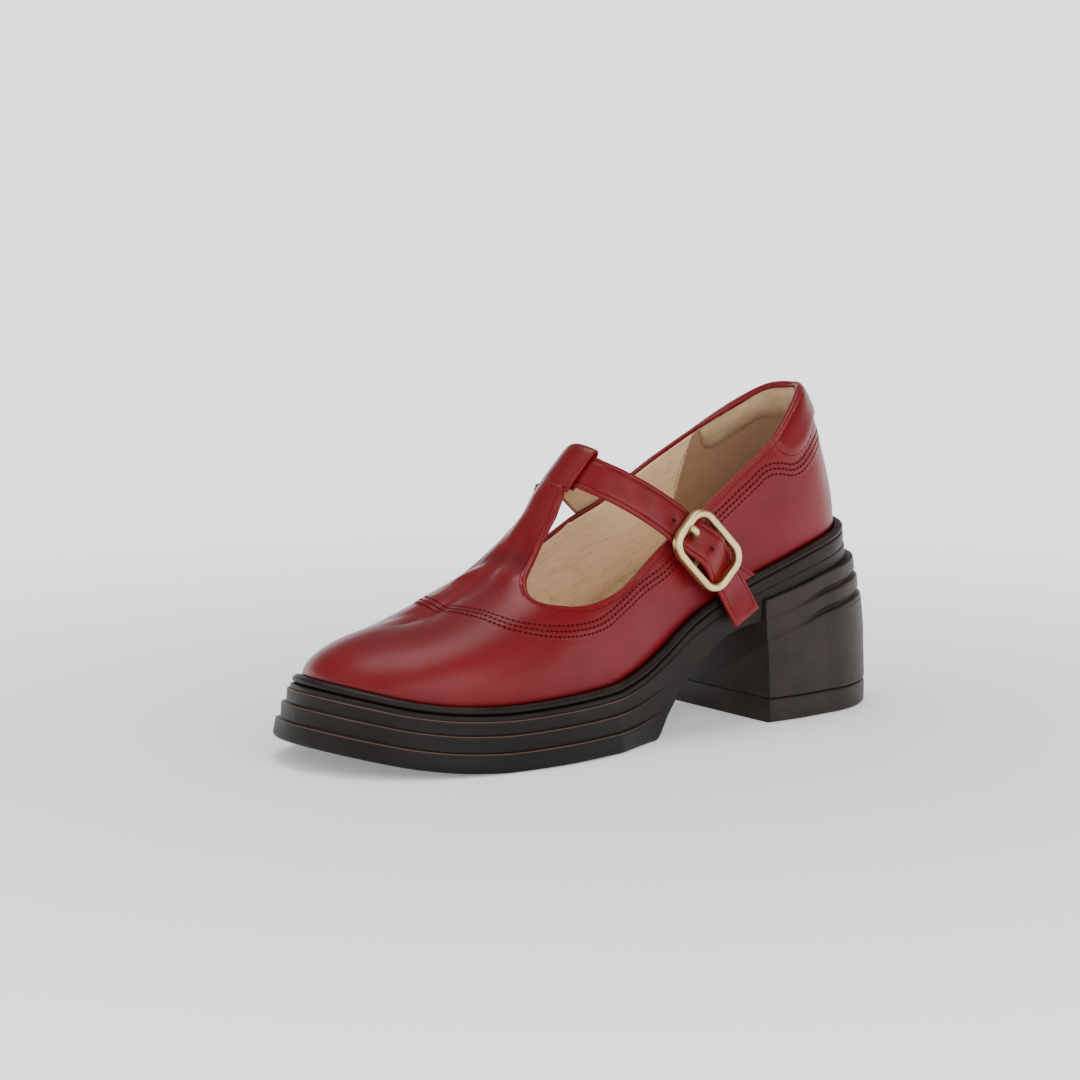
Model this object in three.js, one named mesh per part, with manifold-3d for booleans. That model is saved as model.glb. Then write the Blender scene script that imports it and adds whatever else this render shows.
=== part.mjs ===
// Left mary jane shoe with a T-bar, a buckled strap, a platform sole and a block heel.
// Millimetres, +Z up, toe toward -Y, outer (buckle) side toward +X, floor at z = 0.
import * as THREE from 'three';
import Module from 'manifold-3d';

const wasm = await Module();
wasm.setup();

// Main sizes
const WALL = 2.0;
const GAP = 0.3;
const FLAT_FROM = -40;
const SKIRT = 14;
const TOE_DEPTH = 40;
const HEEL_DEPTH = 36;
const BULGE_TOP = 0.7;
const SOLE_HEIGHT = 22.6;

// Room that the cutting solids take round the shoe
const HALF_ROOM = 80;
const ROOM_ABOVE = 220;
const ROOM_BELOW = -20;
const ROOM_BACK = 170;
const ROOM_TOE = -160;
const SIDE_OVERLAP = 0.05;

// Feather line, where the upper meets the sole, seen from above
const HEEL_POINT = { x: 0, y: 118.5 };
const TOE_POINT = { x: -3, y: -117 };
const FEATHER = [
  { y: 114, outer: 14, inner: 14 },
  { y: 102, outer: 24, inner: 23.5 },
  { y: 82, outer: 28, inner: 26 },
  { y: 52, outer: 27.5, inner: 23 },
  { y: 20, outer: 30, inner: 25 },
  { y: -14, outer: 37, inner: 33 },
  { y: -46, outer: 42, inner: 38 },
  { y: -74, outer: 40, inner: 36 },
  { y: -97, outer: 31.5, inner: 29.5 },
  { y: -111, outer: 18, inner: 20 },
];

// Height of the feather line along the foot
const FEATHER_Z = [
  { y: -130, z: 34.9 },
  { y: -118, z: 31.9 },
  { y: -95, z: 25.6 },
  { y: -80, z: 23.4 },
  { y: -60, z: 22.4 },
  { y: -40, z: 22.6 },
  { y: -25, z: 22.9 },
  { y: -15, z: 23.4 },
  { y: 0, z: 26.9 },
  { y: 12, z: 32.3 },
  { y: 31, z: 43.8 },
  { y: 50, z: 52.1 },
  { y: 70, z: 59.4 },
  { y: 90, z: 65.7 },
  { y: 110, z: 70.5 },
  { y: 125, z: 73 },
];

// Top line of the last: toe box, vamp, instep and the closed crown over the collar
const RIDGE = [
  { y: -80, z: 47.3 },
  { y: -65, z: 49.8 },
  { y: -55, z: 54 },
  { y: -45, z: 59.1 },
  { y: -35, z: 66.3 },
  { y: -25, z: 75.6 },
  { y: -15, z: 86.3 },
  { y: -5, z: 98 },
  { y: 3, z: 107.1 },
  { y: 20, z: 120.4 },
  { y: 40, z: 131.7 },
  { y: 60, z: 140 },
  { y: 90, z: 146.5 },
];
const RIDGE_X = [
  { y: -80, x: -2 },
  { y: -40, x: -1 },
  { y: 0, x: 0 },
  { y: 40, x: 0 },
];

// Fullness of a section by its share of the length, toe 0 and heel 1
const FULLNESS = [
  { share: 0, plan: 1.8, rise: 1.75, bulge: 0 },
  { share: 0.15, plan: 1.9, rise: 1.85, bulge: 2 },
  { share: 0.3, plan: 1.7, rise: 1.7, bulge: 2.9 },
  { share: 0.45, plan: 1.5, rise: 1.6, bulge: 2.6 },
  { share: 0.65, plan: 1.7, rise: 1.8, bulge: 2.6 },
  { share: 0.85, plan: 1.9, rise: 1.9, bulge: 1.5 },
  { share: 1, plan: 1.75, rise: 1.9, bulge: -2.2 },
];

// Top edge of the quarters in side view
const TOPLINE_OUTER = [
  { y: -70, z: 50.2 },
  { y: -27, z: 51.1 },
  { y: -20, z: 52.6 },
  { y: -15, z: 53.5 },
  { y: -5, z: 56.1 },
  { y: 8, z: 64.2 },
  { y: 19, z: 71.6 },
  { y: 39, z: 83 },
  { y: 56.5, z: 94.8 },
  { y: 75, z: 106.7 },
  { y: 83, z: 113.6 },
  { y: 90, z: 119 },
  { y: 98, z: 123.7 },
  { y: 106, z: 124.8 },
  { y: 125, z: 124.5 },
];
const TOPLINE_INNER = [
  { y: -70, z: 53.4 },
  { y: -30, z: 55 },
  { y: -18, z: 58.7 },
  { y: -4, z: 66 },
  { y: 5, z: 71.6 },
  { y: 12, z: 76.7 },
  { y: 26, z: 81.7 },
  { y: 41, z: 92 },
  { y: 58, z: 100.6 },
  { y: 76, z: 108.9 },
  { y: 93, z: 118.1 },
  { y: 102, z: 123.8 },
  { y: 110, z: 124.6 },
  { y: 125, z: 124.5 },
];

// Front edge of the foot opening seen from above, from the T-bar's outer edge round to the quarter
const THROAT_OUTER = [
  { x: 7.2, y: -6 },
  { x: 7.4, y: -14 },
  { x: 9, y: -22.5 },
  { x: 13, y: -32.2 },
  { x: 16.2, y: -37.8 },
  { x: 19.7, y: -41 },
  { x: 23.7, y: -43 },
  { x: 27.1, y: -42.8 },
  { x: 30.6, y: -40.4 },
  { x: 32.8, y: -36.6 },
  { x: 34.4, y: -32.6 },
  { x: 35.5, y: -27 },
  { x: 60, y: -20 },
];
const THROAT_INNER = [
  { x: -60, y: -22 },
  { x: -33, y: -28 },
  { x: -31, y: -32.3 },
  { x: -29.2, y: -35.8 },
  { x: -26.5, y: -39 },
  { x: -23.5, y: -39.6 },
  { x: -20.5, y: -37.5 },
  { x: -17.8, y: -32.6 },
  { x: -14, y: -22.5 },
  { x: -12.4, y: -14 },
  { x: -12.2, y: -6 },
];

// Padded collar: how far below the top edge the wall stands proud, by place along the foot
const PAD_RISE = 1.8;
const PAD_BLEND = 3;
const PAD_DEPTH = [
  { y: 72, depth: 0 },
  { y: 78, depth: 8 },
  { y: 84, depth: 14 },
  { y: 90, depth: 16.5 },
  { y: 96, depth: 15.5 },
  { y: 102, depth: 13.5 },
  { y: 130, depth: 12.5 },
];

// Soft pad on the inside of the collar, from its inner end round the heel to its outer end
const LINER_REACH = 0.225;
const LINER_TOP = 1.2;
const LINER_DEPTH = 15;
const LINER_THICK = 3.6;
const LINER_EDGE = 0.9;
const LINER_TAPER = 0.05;
const LINER_END = 0.6;
const LINER_ROWS = [
  { down: 0, fill: 0 },
  { down: 0.2, fill: 0.72 },
  { down: 0.5, fill: 1 },
  { down: 0.8, fill: 0.72 },
  { down: 1, fill: 0 },
];

// Strap centre line, from its inner end over the instep to the tip, with its outward side
const STRAP = [
  { x: -25, y: 49.4, z: 56.5, nx: -0.99, ny: 0.04, nz: -0.05 },
  { x: -25.6, y: 44, z: 61.9, nx: -1, ny: 0.03, nz: 0 },
  { x: -25.8, y: 36, z: 71.1, nx: -0.99, ny: 0.01, nz: 0.1 },
  { x: -24.2, y: 25, z: 80.1, nx: -0.97, ny: -0.07, nz: 0.21 },
  { x: -20.2, y: 13.8, z: 88.3, nx: -0.9, ny: -0.18, nz: 0.38 },
  { x: -14.6, y: 4.2, z: 94.6, nx: -0.74, ny: -0.38, nz: 0.53 },
  { x: -8.6, y: -2.2, z: 98.6, nx: -0.4, ny: -0.64, nz: 0.62 },
  { x: -2.5, y: -4.6, z: 100.2, nx: 0, ny: -0.74, nz: 0.66 },
  { x: 4.6, y: -4.2, z: 99.6, nx: 0.3, ny: -0.7, nz: 0.64 },
  { x: 10.8, y: -1.6, z: 97.3, nx: 0.56, ny: -0.56, nz: 0.6 },
  { x: 17.2, y: 4.4, z: 93.7, nx: 0.76, ny: -0.34, nz: 0.52 },
  { x: 24, y: 13.6, z: 87.3, nx: 0.88, ny: -0.2, nz: 0.4 },
  { x: 29.7, y: 23, z: 79.4, nx: 0.95, ny: -0.02, nz: 0.26 },
  { x: 30.4, y: 25.6, z: 76.7, nx: 0.94, ny: -0.06, nz: 0.3 },
  { x: 33.9, y: 29.2, z: 73.6, nx: 0.93, ny: -0.1, nz: 0.3 },
  { x: 37.3, y: 33.6, z: 69.5, nx: 0.97, ny: 0.02, nz: 0.2 },
  { x: 35.7, y: 38, z: 64.4, nx: 0.97, ny: 0.14, nz: 0.12 },
  { x: 33.5, y: 41.4, z: 60, nx: 0.97, ny: 0.1, nz: 0.16 },
  { x: 33.8, y: 44, z: 57.3, nx: 0.97, ny: 0.06, nz: 0.2 },
  { x: 34, y: 48.4, z: 50.2, nx: 0.97, ny: 0.08, nz: 0.2 },
  { x: 36, y: 52.4, z: 41.7, nx: 0.96, ny: 0.06, nz: 0.26 },
];
const STRAP_WIDTH = 14.6;
const STRAP_THICK = 1.8;
const LOOP_FROM = -12.4;
const LOOP_TO = 7.4;
const LOOP_LAYER = 2.0;
const LOOP_CLEAR = 0.4;
const LOOP_ROUND = 2.4;
const TUNNEL_MARGIN = 0.06;
const RIBBON_ROUND = 0.6;

// Short strap that holds the buckle, from the sole seam up to the buckle's bar
const BUCKLE_TAB = [
  { x: 29.8, y: 58, z: 50.7, nx: 0.99, ny: 0.04, nz: -0.05 },
  { x: 30.2, y: 49.4, z: 56.3, nx: 0.98, ny: 0.04, nz: 0.05 },
  { x: 31.4, y: 41.5, z: 59.4, nx: 0.97, ny: 0.02, nz: 0.2 },
  { x: 32.4, y: 35.7, z: 66.1, nx: 0.95, ny: -0.06, nz: 0.22 },
];
const TAB_WIDTH = 14;
const TAB_THICK = 1.6;
const SEAM_CLEAR = 0.6;
const QUARTER = { from: 20, to: 90 };

// Buckle: rounded frame, its long side along the strap
const BUCKLE_CENTRE = new THREE.Vector3(35, 33.6, 69);
const BUCKLE_AXIS = new THREE.Vector3(0.12, 0.68, -0.72);
const BUCKLE_OUT = new THREE.Vector3(0.97, 0.02, 0.2);
const BUCKLE_LENGTH = 30.5;
const BUCKLE_WIDTH = 22.4;
const BUCKLE_BAR = 3.2;
const BUCKLE_CORNER = 7.6;
const BUCKLE_THICK = 3.2;
const BUCKLE_BEVEL = 0.9;
const BUCKLE_HINGE = { radius: 1.1, sink: 1.2 };
const PRONG = { radius: 1.15, eye: 1.45, wire: 0.5, tipAlong: -12.9, tipOut: 3.3, clear: 0.5 };

// Sole side, from the top down: how far each edge stands out from the feather line
const BANDS = [
  { drop: 4.6, front: 5.6, arch: 4.4, seat: 4, back: 4.8 },
  { drop: 9.1, front: 5.9, arch: 4.6, seat: 4.6, back: 5.6 },
  { drop: 9.6, front: 7.7, arch: 4.6, seat: 4.6, back: 6.2 },
  { drop: 15.1, front: 8.1, arch: 4.2, seat: 4.6, back: 6.6 },
  { drop: 15.5, front: 9.9, arch: 4.2, seat: 4.6, back: 6.6 },
  { drop: 20.8, front: 10.9, arch: 3.6, seat: 4.6, back: 6.6 },
  { drop: 22.6, front: 10, arch: 3.2, seat: 4.6, back: 6.6 },
];
const BAND_FADE = [
  { y: -18, front: 1, arch: 0, seat: 0, back: 0 },
  { y: 24, front: 0, arch: 1, seat: 0, back: 0 },
  { y: 50, front: 0, arch: 1, seat: 0, back: 0 },
  { y: 66, front: 0, arch: 0, seat: 1, back: 0 },
  { y: 96, front: 0, arch: 0, seat: 1, back: 0 },
  { y: 118, front: 0, arch: 0, seat: 0, back: 1 },
];
const LEDGE = [
  { out: 3.6, drop: 4.2 },
  { out: 0, drop: 4.2 },
  { out: 0, drop: 0.3 },
];

// Underside of the sole in side view, from the flat tread up the arch to the heel seat
const ARCH = [
  { y: 5, z: -2.7 },
  { y: 9.5, z: 1.8 },
  { y: 12, z: 5.4 },
  { y: 16.2, z: 11.3 },
  { y: 21, z: 16.6 },
  { y: 30.4, z: 25.3 },
  { y: 40, z: 32.1 },
  { y: 48, z: 36 },
  { y: 63, z: 38.7 },
];
const SEAT = [
  { y: 63, z: 46.9 },
  { y: 76, z: 50.1 },
  { y: 96, z: 55.3 },
  { y: 116, z: 58.8 },
  { y: 140, z: 60.2 },
];

// Heel side, from its top edge down to the floor
const HEEL_FRONT = 63.3;
const HEEL_LEVELS = [
  { seat: 0, z: 9.5, side: 9.2, back: 14 },
  { seat: 0.5, z: 2, side: 8.2, back: 13.4 },
  { seat: 1, z: -14.9, side: 7.6, back: 12 },
  { seat: 1, z: -14.3, side: 7.1, back: 10.9 },
  { seat: 1, z: -7.5, side: 7, back: 10 },
  { seat: 1, z: -6.9, side: 6.6, back: 9 },
  { seat: 1, z: 3, side: 6.3, back: 7.8 },
];
const LIFT_LEVELS = [
  { z: 0, side: 8.2, back: 13 },
  { z: 1.2, side: 9.2, back: 14 },
  { z: 8.2, side: 9.2, back: 14 },
  { z: 9.2, side: 8.6, back: 13.4 },
];
const HEEL_BACK = [
  { y: 92, back: 0 },
  { y: 119, back: 1 },
];

// Welt bead between the upper and the sole
const WELT = [
  { out: 0.4, drop: 3.8 },
  { out: 3.2, drop: 3.8 },
  { out: 3.9, drop: 2.2 },
  { out: 3.2, drop: 0.5 },
  { out: 1.8, drop: -0.2 },
  { out: 0.5, drop: 0.6 },
];

// Insole inside the upper
const INSOLE = [
  { out: -2.8, rise: 0 },
  { out: -2.8, rise: 1.5 },
  { out: -3.8, rise: 2.4 },
];

// Mesh density
const HALF_STEPS = 34;
const WALL_STEPS = 14;
const SOLE_STEPS = 34;
const STATION_EASE = 0.55;
const LINE_STEPS = 24;
const TOPLINE_STEPS = 60;
const THROAT_STEPS = 44;
const LOOP_STEPS = 8;
const TUNNEL_STEPS = 12;
const STRAP_STEPS = 46;
const TAB_STEPS = 14;
const ROUND_SIDES = 12;
const BEVEL_STEPS = 2;
const CORNER_STEPS = 4;
const EYE_STEPS = { wire: 8, round: 16 };
const SEARCH_STEPS = 40;
const SLOPE_STEP = { u: 0.006, v: 0.012 };
const SLOPE_EDGE = { u: 0.012, v: 0.96, top: 0.985, zip: 0.992 };
const PLAN_STEP = 0.004;
const LINER_STEPS = 22;
const DENSE = 2200;

function lerp(a, b, t) {
  return a + (b - a) * t;
}

// Monotone cubic through a table's named columns
function follow(rows, key, name, at) {
  const last = rows.length - 1;
  if (at <= rows[0][key]) return rows[0][name];
  if (at >= rows[last][key]) return rows[last][name];
  let i = 0;
  while (rows[i + 1][key] < at) i += 1;
  const h = rows.map((r, k) => (k < last ? rows[k + 1][key] - r[key] : 0));
  const d = rows.map((r, k) => (k < last ? (rows[k + 1][name] - r[name]) / h[k] : 0));
  const slope = (k) => {
    if (k === 0) return endSlope(h[0], h[1], d[0], d[1]);
    if (k === last) return endSlope(h[last - 1], h[last - 2], d[last - 1], d[last - 2]);
    if (d[k - 1] * d[k] <= 0) return 0;
    const w1 = 2 * h[k] + h[k - 1];
    const w2 = h[k] + 2 * h[k - 1];
    return (w1 + w2) / (w1 / d[k - 1] + w2 / d[k]);
  };
  const t = (at - rows[i][key]) / h[i];
  const m0 = slope(i) * h[i];
  const m1 = slope(i + 1) * h[i];
  const a = rows[i][name];
  const b = rows[i + 1][name];
  const t2 = t * t;
  const t3 = t2 * t;
  return (2 * t3 - 3 * t2 + 1) * a + (t3 - 2 * t2 + t) * m0 + (3 * t2 - 2 * t3) * b + (t3 - t2) * m1;
}

function endSlope(h0, h1, d0, d1) {
  if (h1 === undefined || h1 === 0) return d0;
  const s = ((2 * h0 + h1) * d0 - h0 * d1) / (h0 + h1);
  if (s * d0 <= 0) return 0;
  if (d0 * d1 <= 0 && Math.abs(s) > 3 * Math.abs(d0)) return 3 * d0;
  return s;
}

const featherZ = (y) => follow(FEATHER_Z, 'y', 'z', y);

// Both halves of the feather line, each from the heel point to the toe point in even steps
function halves() {
  const points = [new THREE.Vector3(HEEL_POINT.x, HEEL_POINT.y, 0)];
  for (const row of FEATHER) points.push(new THREE.Vector3(row.outer, row.y, 0));
  points.push(new THREE.Vector3(TOE_POINT.x, TOE_POINT.y, 0));
  for (const row of [...FEATHER].reverse()) points.push(new THREE.Vector3(-row.inner, row.y, 0));
  const curve = new THREE.CatmullRomCurve3(points, true, 'centripetal');
  const dense = [];
  for (let i = 0; i < DENSE; i += 1) dense.push(curve.getPoint(i / DENSE));
  const middle = DENSE / 2;
  const outer = dense.slice(0, middle + 1);
  const inner = [dense[0], ...dense.slice(middle).reverse()];
  return [outer, inner].map(evenSteps);
}

function evenSteps(line) {
  const reach = [0];
  for (let i = 1; i < line.length; i += 1) reach.push(reach[i - 1] + line[i].distanceTo(line[i - 1]));
  return { line, reach, total: reach[reach.length - 1] };
}

const HALVES = halves();

function featherPoint(half, u) {
  const { line, reach, total } = HALVES[half];
  const goal = u * total;
  let low = 0;
  let high = line.length - 1;
  while (high - low > 1) {
    const mid = (low + high) >> 1;
    if (reach[mid] <= goal) low = mid;
    else high = mid;
  }
  const t = (goal - reach[low]) / (reach[high] - reach[low]);
  return new THREE.Vector3().lerpVectors(line[low], line[high], t);
}

// Direction straight out of the outline, in plan
function planOut(half, u) {
  const step = PLAN_STEP;
  const side = half === 0 ? 1 : -1;
  let a;
  let b;
  if (u < step) {
    a = featherPoint(1 - half, step);
    b = featherPoint(half, u + step);
  } else if (u > 1 - step) {
    a = featherPoint(half, u - step);
    b = featherPoint(1 - half, 1 - step);
  } else {
    a = featherPoint(half, u - step);
    b = featherPoint(half, u + step);
  }
  const t = b.sub(a).normalize();
  return new THREE.Vector3(-t.y * side, t.x * side, 0);
}

// Share of the length at a station, the same on both halves
function lengthShare(u) {
  const mean = (featherPoint(0, u).y + featherPoint(1, u).y) / 2;
  return (mean - TOE_POINT.y) / (HEEL_POINT.y - TOE_POINT.y);
}

// The last's surface: u runs from heel to toe along a half, v from the feather line to the top line
function lastBase(half, u, v) {
  const foot = featherPoint(half, u);
  const out = planOut(half, u);
  const share = lengthShare(u);
  const crownY = lerp(TOE_POINT.y + TOE_DEPTH, HEEL_POINT.y - HEEL_DEPTH, share);
  const crownX = follow(RIDGE_X, 'y', 'x', crownY);
  const crownZ = follow(RIDGE, 'y', 'z', crownY);
  const plan = follow(FULLNESS, 'share', 'plan', share);
  const rise = follow(FULLNESS, 'share', 'rise', share);
  const angle = (v * Math.PI) / 2;
  const across = Math.max(Math.cos(angle), 0) ** (2 / plan);
  const up = v > 0 ? Math.sin(angle) ** (2 / rise) : 0;
  const swell = v < BULGE_TOP ? Math.sin((Math.PI * v) / BULGE_TOP) : 0;
  const bulge = follow(FULLNESS, 'share', 'bulge', share) * swell;
  const low = featherZ(foot.y);
  return new THREE.Vector3(
    crownX + (foot.x - crownX) * across + out.x * bulge,
    crownY + (foot.y - crownY) * across + out.y * bulge,
    low + (crownZ - low) * up,
  );
}

function lastNormalOneSide(half, u, v) {
  const side = half === 0 ? 1 : -1;
  const a = lastBase(half, Math.max(u - SLOPE_STEP.u, 0), v);
  const b = lastBase(half, Math.min(u + SLOPE_STEP.u, 1), v);
  const c = lastBase(half, u, Math.max(v - SLOPE_STEP.v, 0));
  const d = lastBase(half, u, Math.min(v + SLOPE_STEP.v, SLOPE_EDGE.zip));
  return b.sub(a).cross(d.sub(c)).multiplyScalar(-side).normalize();
}

// Outward direction of the last, shared by both halves where they meet
function lastNormal(half, u, v) {
  if (v <= SLOPE_EDGE.v && u >= SLOPE_EDGE.u && u <= 1 - SLOPE_EDGE.u) return lastNormalOneSide(half, u, v);
  const near = Math.min(Math.max(u, SLOPE_EDGE.u), 1 - SLOPE_EDGE.u);
  const high = Math.min(v, SLOPE_EDGE.top);
  return lastNormalOneSide(half, near, high).add(lastNormalOneSide(1 - half, near, high)).normalize();
}

function smoothStep(t) {
  const s = Math.min(Math.max(t, 0), 1);
  return s * s * (3 - 2 * s);
}

function topZ(half, y) {
  return follow(half === 0 ? TOPLINE_OUTER : TOPLINE_INNER, 'y', 'z', y);
}

// How far the padded collar stands out from the wall
function padRise(half, point) {
  const depth = follow(PAD_DEPTH, 'y', 'depth', point.y);
  const below = topZ(half, point.y) - point.z;
  return PAD_RISE * smoothStep((depth - below) / PAD_BLEND) * smoothStep(depth / PAD_BLEND);
}

function lastPoint(half, u, v, lift) {
  const base = lastBase(half, u, v);
  const n = lastNormal(half, u, v);
  return base.addScaledVector(n, lift);
}

// Closed solid from stacked rings of the same stations; the ends close as ladders across the foot
function stack(rings, count, zipTop) {
  const vertices = [];
  const around = 2 * count;
  for (const ring of rings) for (const p of ring) vertices.push(p.x, p.y, p.z);
  const faces = [];
  const at = (r, i) => {
    const k = ((i % around) + around) % around;
    if (zipTop && r === rings.length - 1 && k > count) return r * around + (around - k);
    return r * around + k;
  };
  const quad = (a, b, c, d) => {
    if (a !== b && b !== c && a !== c) faces.push(a, b, c);
    if (a !== c && c !== d && a !== d) faces.push(a, c, d);
  };
  for (let r = 0; r + 1 < rings.length; r += 1) {
    for (let i = 0; i < around; i += 1) quad(at(r, i), at(r + 1, i), at(r + 1, i + 1), at(r, i + 1));
  }
  const top = rings.length - 1;
  for (let i = 0; i < count; i += 1) {
    quad(at(0, i), at(0, i + 1), at(0, -i - 1), at(0, -i));
    if (!zipTop) quad(at(top, i), at(top, -i), at(top, -i - 1), at(top, i + 1));
  }
  return solid(vertices, faces);
}

// Manifold solid from flat lists, turned outward if it came out inside out
function solid(vertices, faces) {
  const build = (list) => {
    const geometry = new wasm.Mesh({
      numProp: 3,
      vertProperties: new Float32Array(vertices),
      triVerts: new Uint32Array(list),
    });
    geometry.merge();
    return new wasm.Manifold(geometry);
  };
  const result = build(faces);
  if (result.volume() > 0) return result;
  const flipped = [];
  for (let i = 0; i < faces.length; i += 3) flipped.push(faces[i], faces[i + 2], faces[i + 1]);
  return build(flipped);
}

// Stations of both halves in one ring, heel to toe on the outer side and back on the inner side
function ringOf(count, place) {
  const ring = [];
  for (let i = 0; i <= count; i += 1) ring.push(place(0, stationShare(i / count)));
  for (let i = count - 1; i > 0; i -= 1) ring.push(place(1, stationShare(i / count)));
  return ring;
}

// Stations stand closer together round the heel and the toe
function stationShare(t) {
  return t - (STATION_EASE * Math.sin(2 * Math.PI * t)) / (2 * Math.PI);
}

function fromGeometry(geometry) {
  const flat = geometry.index ? geometry.toNonIndexed() : geometry;
  const source = flat.getAttribute('position');
  const faces = [];
  for (let i = 0; i < source.count; i += 1) faces.push(i);
  return solid(Array.from(source.array), faces);
}

// Plate of a side-view outline, across the whole shoe or one side of it
function sidePlate(points, fromX, toX) {
  const shape = new THREE.Shape(points.map((p) => new THREE.Vector2(p.y, p.z)));
  const geometry = new THREE.ExtrudeGeometry(shape, { depth: toX - fromX, bevelEnabled: false, curveSegments: 1 });
  const frame = new THREE.Matrix4().makeBasis(
    new THREE.Vector3(0, 1, 0),
    new THREE.Vector3(0, 0, 1),
    new THREE.Vector3(1, 0, 0),
  );
  frame.setPosition(fromX, 0, 0);
  geometry.applyMatrix4(frame);
  return fromGeometry(geometry);
}

function planPlate(points, fromZ, toZ) {
  const shape = new THREE.Shape(points.map((p) => new THREE.Vector2(p.x, p.y)));
  const geometry = new THREE.ExtrudeGeometry(shape, { depth: toZ - fromZ, bevelEnabled: false, curveSegments: 1 });
  geometry.translate(0, 0, fromZ);
  return fromGeometry(geometry);
}

// Rows of a table read at even steps
function sampled(rows, key, name, from, to, steps) {
  const out = [];
  for (let i = 0; i <= steps; i += 1) {
    const at = lerp(from, to, i / steps);
    out.push({ [key]: at, [name]: follow(rows, key, name, at) });
  }
  return out;
}

function curved(rows, steps) {
  const points = rows.map((r) => new THREE.Vector3(r.x, r.y, 0));
  return new THREE.CatmullRomCurve3(points, false, 'centripetal').getPoints(steps);
}

function lastSolid(lift, bottom) {
  const rings = [];
  if (bottom > 0) {
    rings.push(ringOf(HALF_STEPS, (h, u) => {
      const p = lastPoint(h, u, 0, lift);
      p.z -= bottom;
      return p;
    }));
  }
  for (let k = 0; k <= WALL_STEPS; k += 1) {
    const v = k / WALL_STEPS;
    rings.push(ringOf(HALF_STEPS, (h, u) => {
      const more = padRise(h, lastBase(h, u, v));
      return lastPoint(h, u, v, lift + more);
    }));
  }
  return stack(rings, HALF_STEPS, true);
}

// Ribbon of rounded section along a table's centre line
function ribbonFrames(rows, from, to, steps) {
  const points = rows.map((r) => new THREE.Vector3(r.x, r.y, r.z));
  const curve = new THREE.CatmullRomCurve3(points, false, 'centripetal');
  const frames = [];
  const last = rows.length - 1;
  for (let i = 0; i <= steps; i += 1) {
    const t = lerp(from, to, i / steps);
    const at = curve.getPoint(t);
    const tangent = curve.getTangent(t);
    const k = Math.min(Math.floor(t * last), last - 1);
    const w = t * last - k;
    const out = new THREE.Vector3(
      lerp(rows[k].nx, rows[k + 1].nx, w),
      lerp(rows[k].ny, rows[k + 1].ny, w),
      lerp(rows[k].nz, rows[k + 1].nz, w),
    );
    out.addScaledVector(tangent, -out.dot(tangent)).normalize();
    const side = new THREE.Vector3().crossVectors(tangent, out).normalize();
    frames.push({ at, tangent, out, side });
  }
  return frames;
}

function ribbon(frames, width, thick, round) {
  const w = width / 2;
  const t = thick / 2;
  const r = Math.min(round, t);
  const section = [
    [-w, -t + r], [-w + r, -t], [0, -t], [w - r, -t], [w, -t + r],
    [w, t - r], [w - r, t], [0, t], [-w + r, t], [-w, t - r],
  ];
  const vertices = [];
  const faces = [];
  const n = section.length;
  for (const f of frames) {
    for (const [a, b] of section) {
      const p = f.at.clone().addScaledVector(f.side, a).addScaledVector(f.out, b);
      vertices.push(p.x, p.y, p.z);
    }
  }
  for (let i = 0; i + 1 < frames.length; i += 1) {
    for (let k = 0; k < n; k += 1) {
      const a = i * n + k;
      const b = i * n + ((k + 1) % n);
      faces.push(a, b, b + n, a, b + n, a + n);
    }
  }
  const end = (frames.length - 1) * n;
  for (let k = 1; k + 1 < n; k += 1) {
    faces.push(0, k + 1, k);
    faces.push(end, end + k, end + k + 1);
  }
  return solid(vertices, faces);
}

function lifted(frames, by) {
  return frames.map((f) => ({ ...f, at: f.at.clone().addScaledVector(f.out, by) }));
}

// Share of the strap's centre line at which it passes a given x, on the instep
function strapShareAt(x) {
  const points = STRAP.map((r) => new THREE.Vector3(r.x, r.y, r.z));
  const curve = new THREE.CatmullRomCurve3(points, false, 'centripetal');
  let low = 0.2;
  let high = 0.8;
  for (let i = 0; i < SEARCH_STEPS; i += 1) {
    const mid = (low + high) / 2;
    if (curve.getPoint(mid).x < x) low = mid;
    else high = mid;
  }
  return (low + high) / 2;
}

function makeUpper() {
  const outer = lastSolid(0, 0);
  const inner = lastSolid(-WALL, SKIRT);
  const cutter = aboveTopline(TOPLINE_OUTER, -SIDE_OVERLAP, HALF_ROOM)
    .add(aboveTopline(TOPLINE_INNER, -HALF_ROOM, SIDE_OVERLAP))
    .subtract(aheadOfThroat());
  const loopFrom = strapShareAt(LOOP_FROM);
  const loopTo = strapShareAt(LOOP_TO);
  const wide = STRAP_WIDTH + 2 * LOOP_CLEAR;
  const thick = STRAP_THICK + 2 * LOOP_CLEAR;
  const loopFrames = ribbonFrames(STRAP, loopFrom, loopTo, LOOP_STEPS);
  const tunnelFrames = ribbonFrames(STRAP, loopFrom - TUNNEL_MARGIN, loopTo + TUNNEL_MARGIN, TUNNEL_STEPS);
  const loop = ribbon(loopFrames, wide + 2 * LOOP_LAYER, thick + 2 * LOOP_LAYER, LOOP_ROUND);
  const tunnel = ribbon(tunnelFrames, wide, thick, RIBBON_ROUND);
  return outer.subtract(inner).subtract(cutter).add(loop).subtract(tunnel);
}

// Everything above one side's top edge
function aboveTopline(rows, fromX, toX) {
  const front = rows[0].y;
  const line = sampled(rows, 'y', 'z', front, rows[rows.length - 1].y, TOPLINE_STEPS);
  const back = { y: ROOM_BACK, z: line[line.length - 1].z };
  return sidePlate([...line, back, { y: ROOM_BACK, z: ROOM_ABOVE }, { y: front, z: ROOM_ABOVE }], fromX, toX);
}

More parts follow.
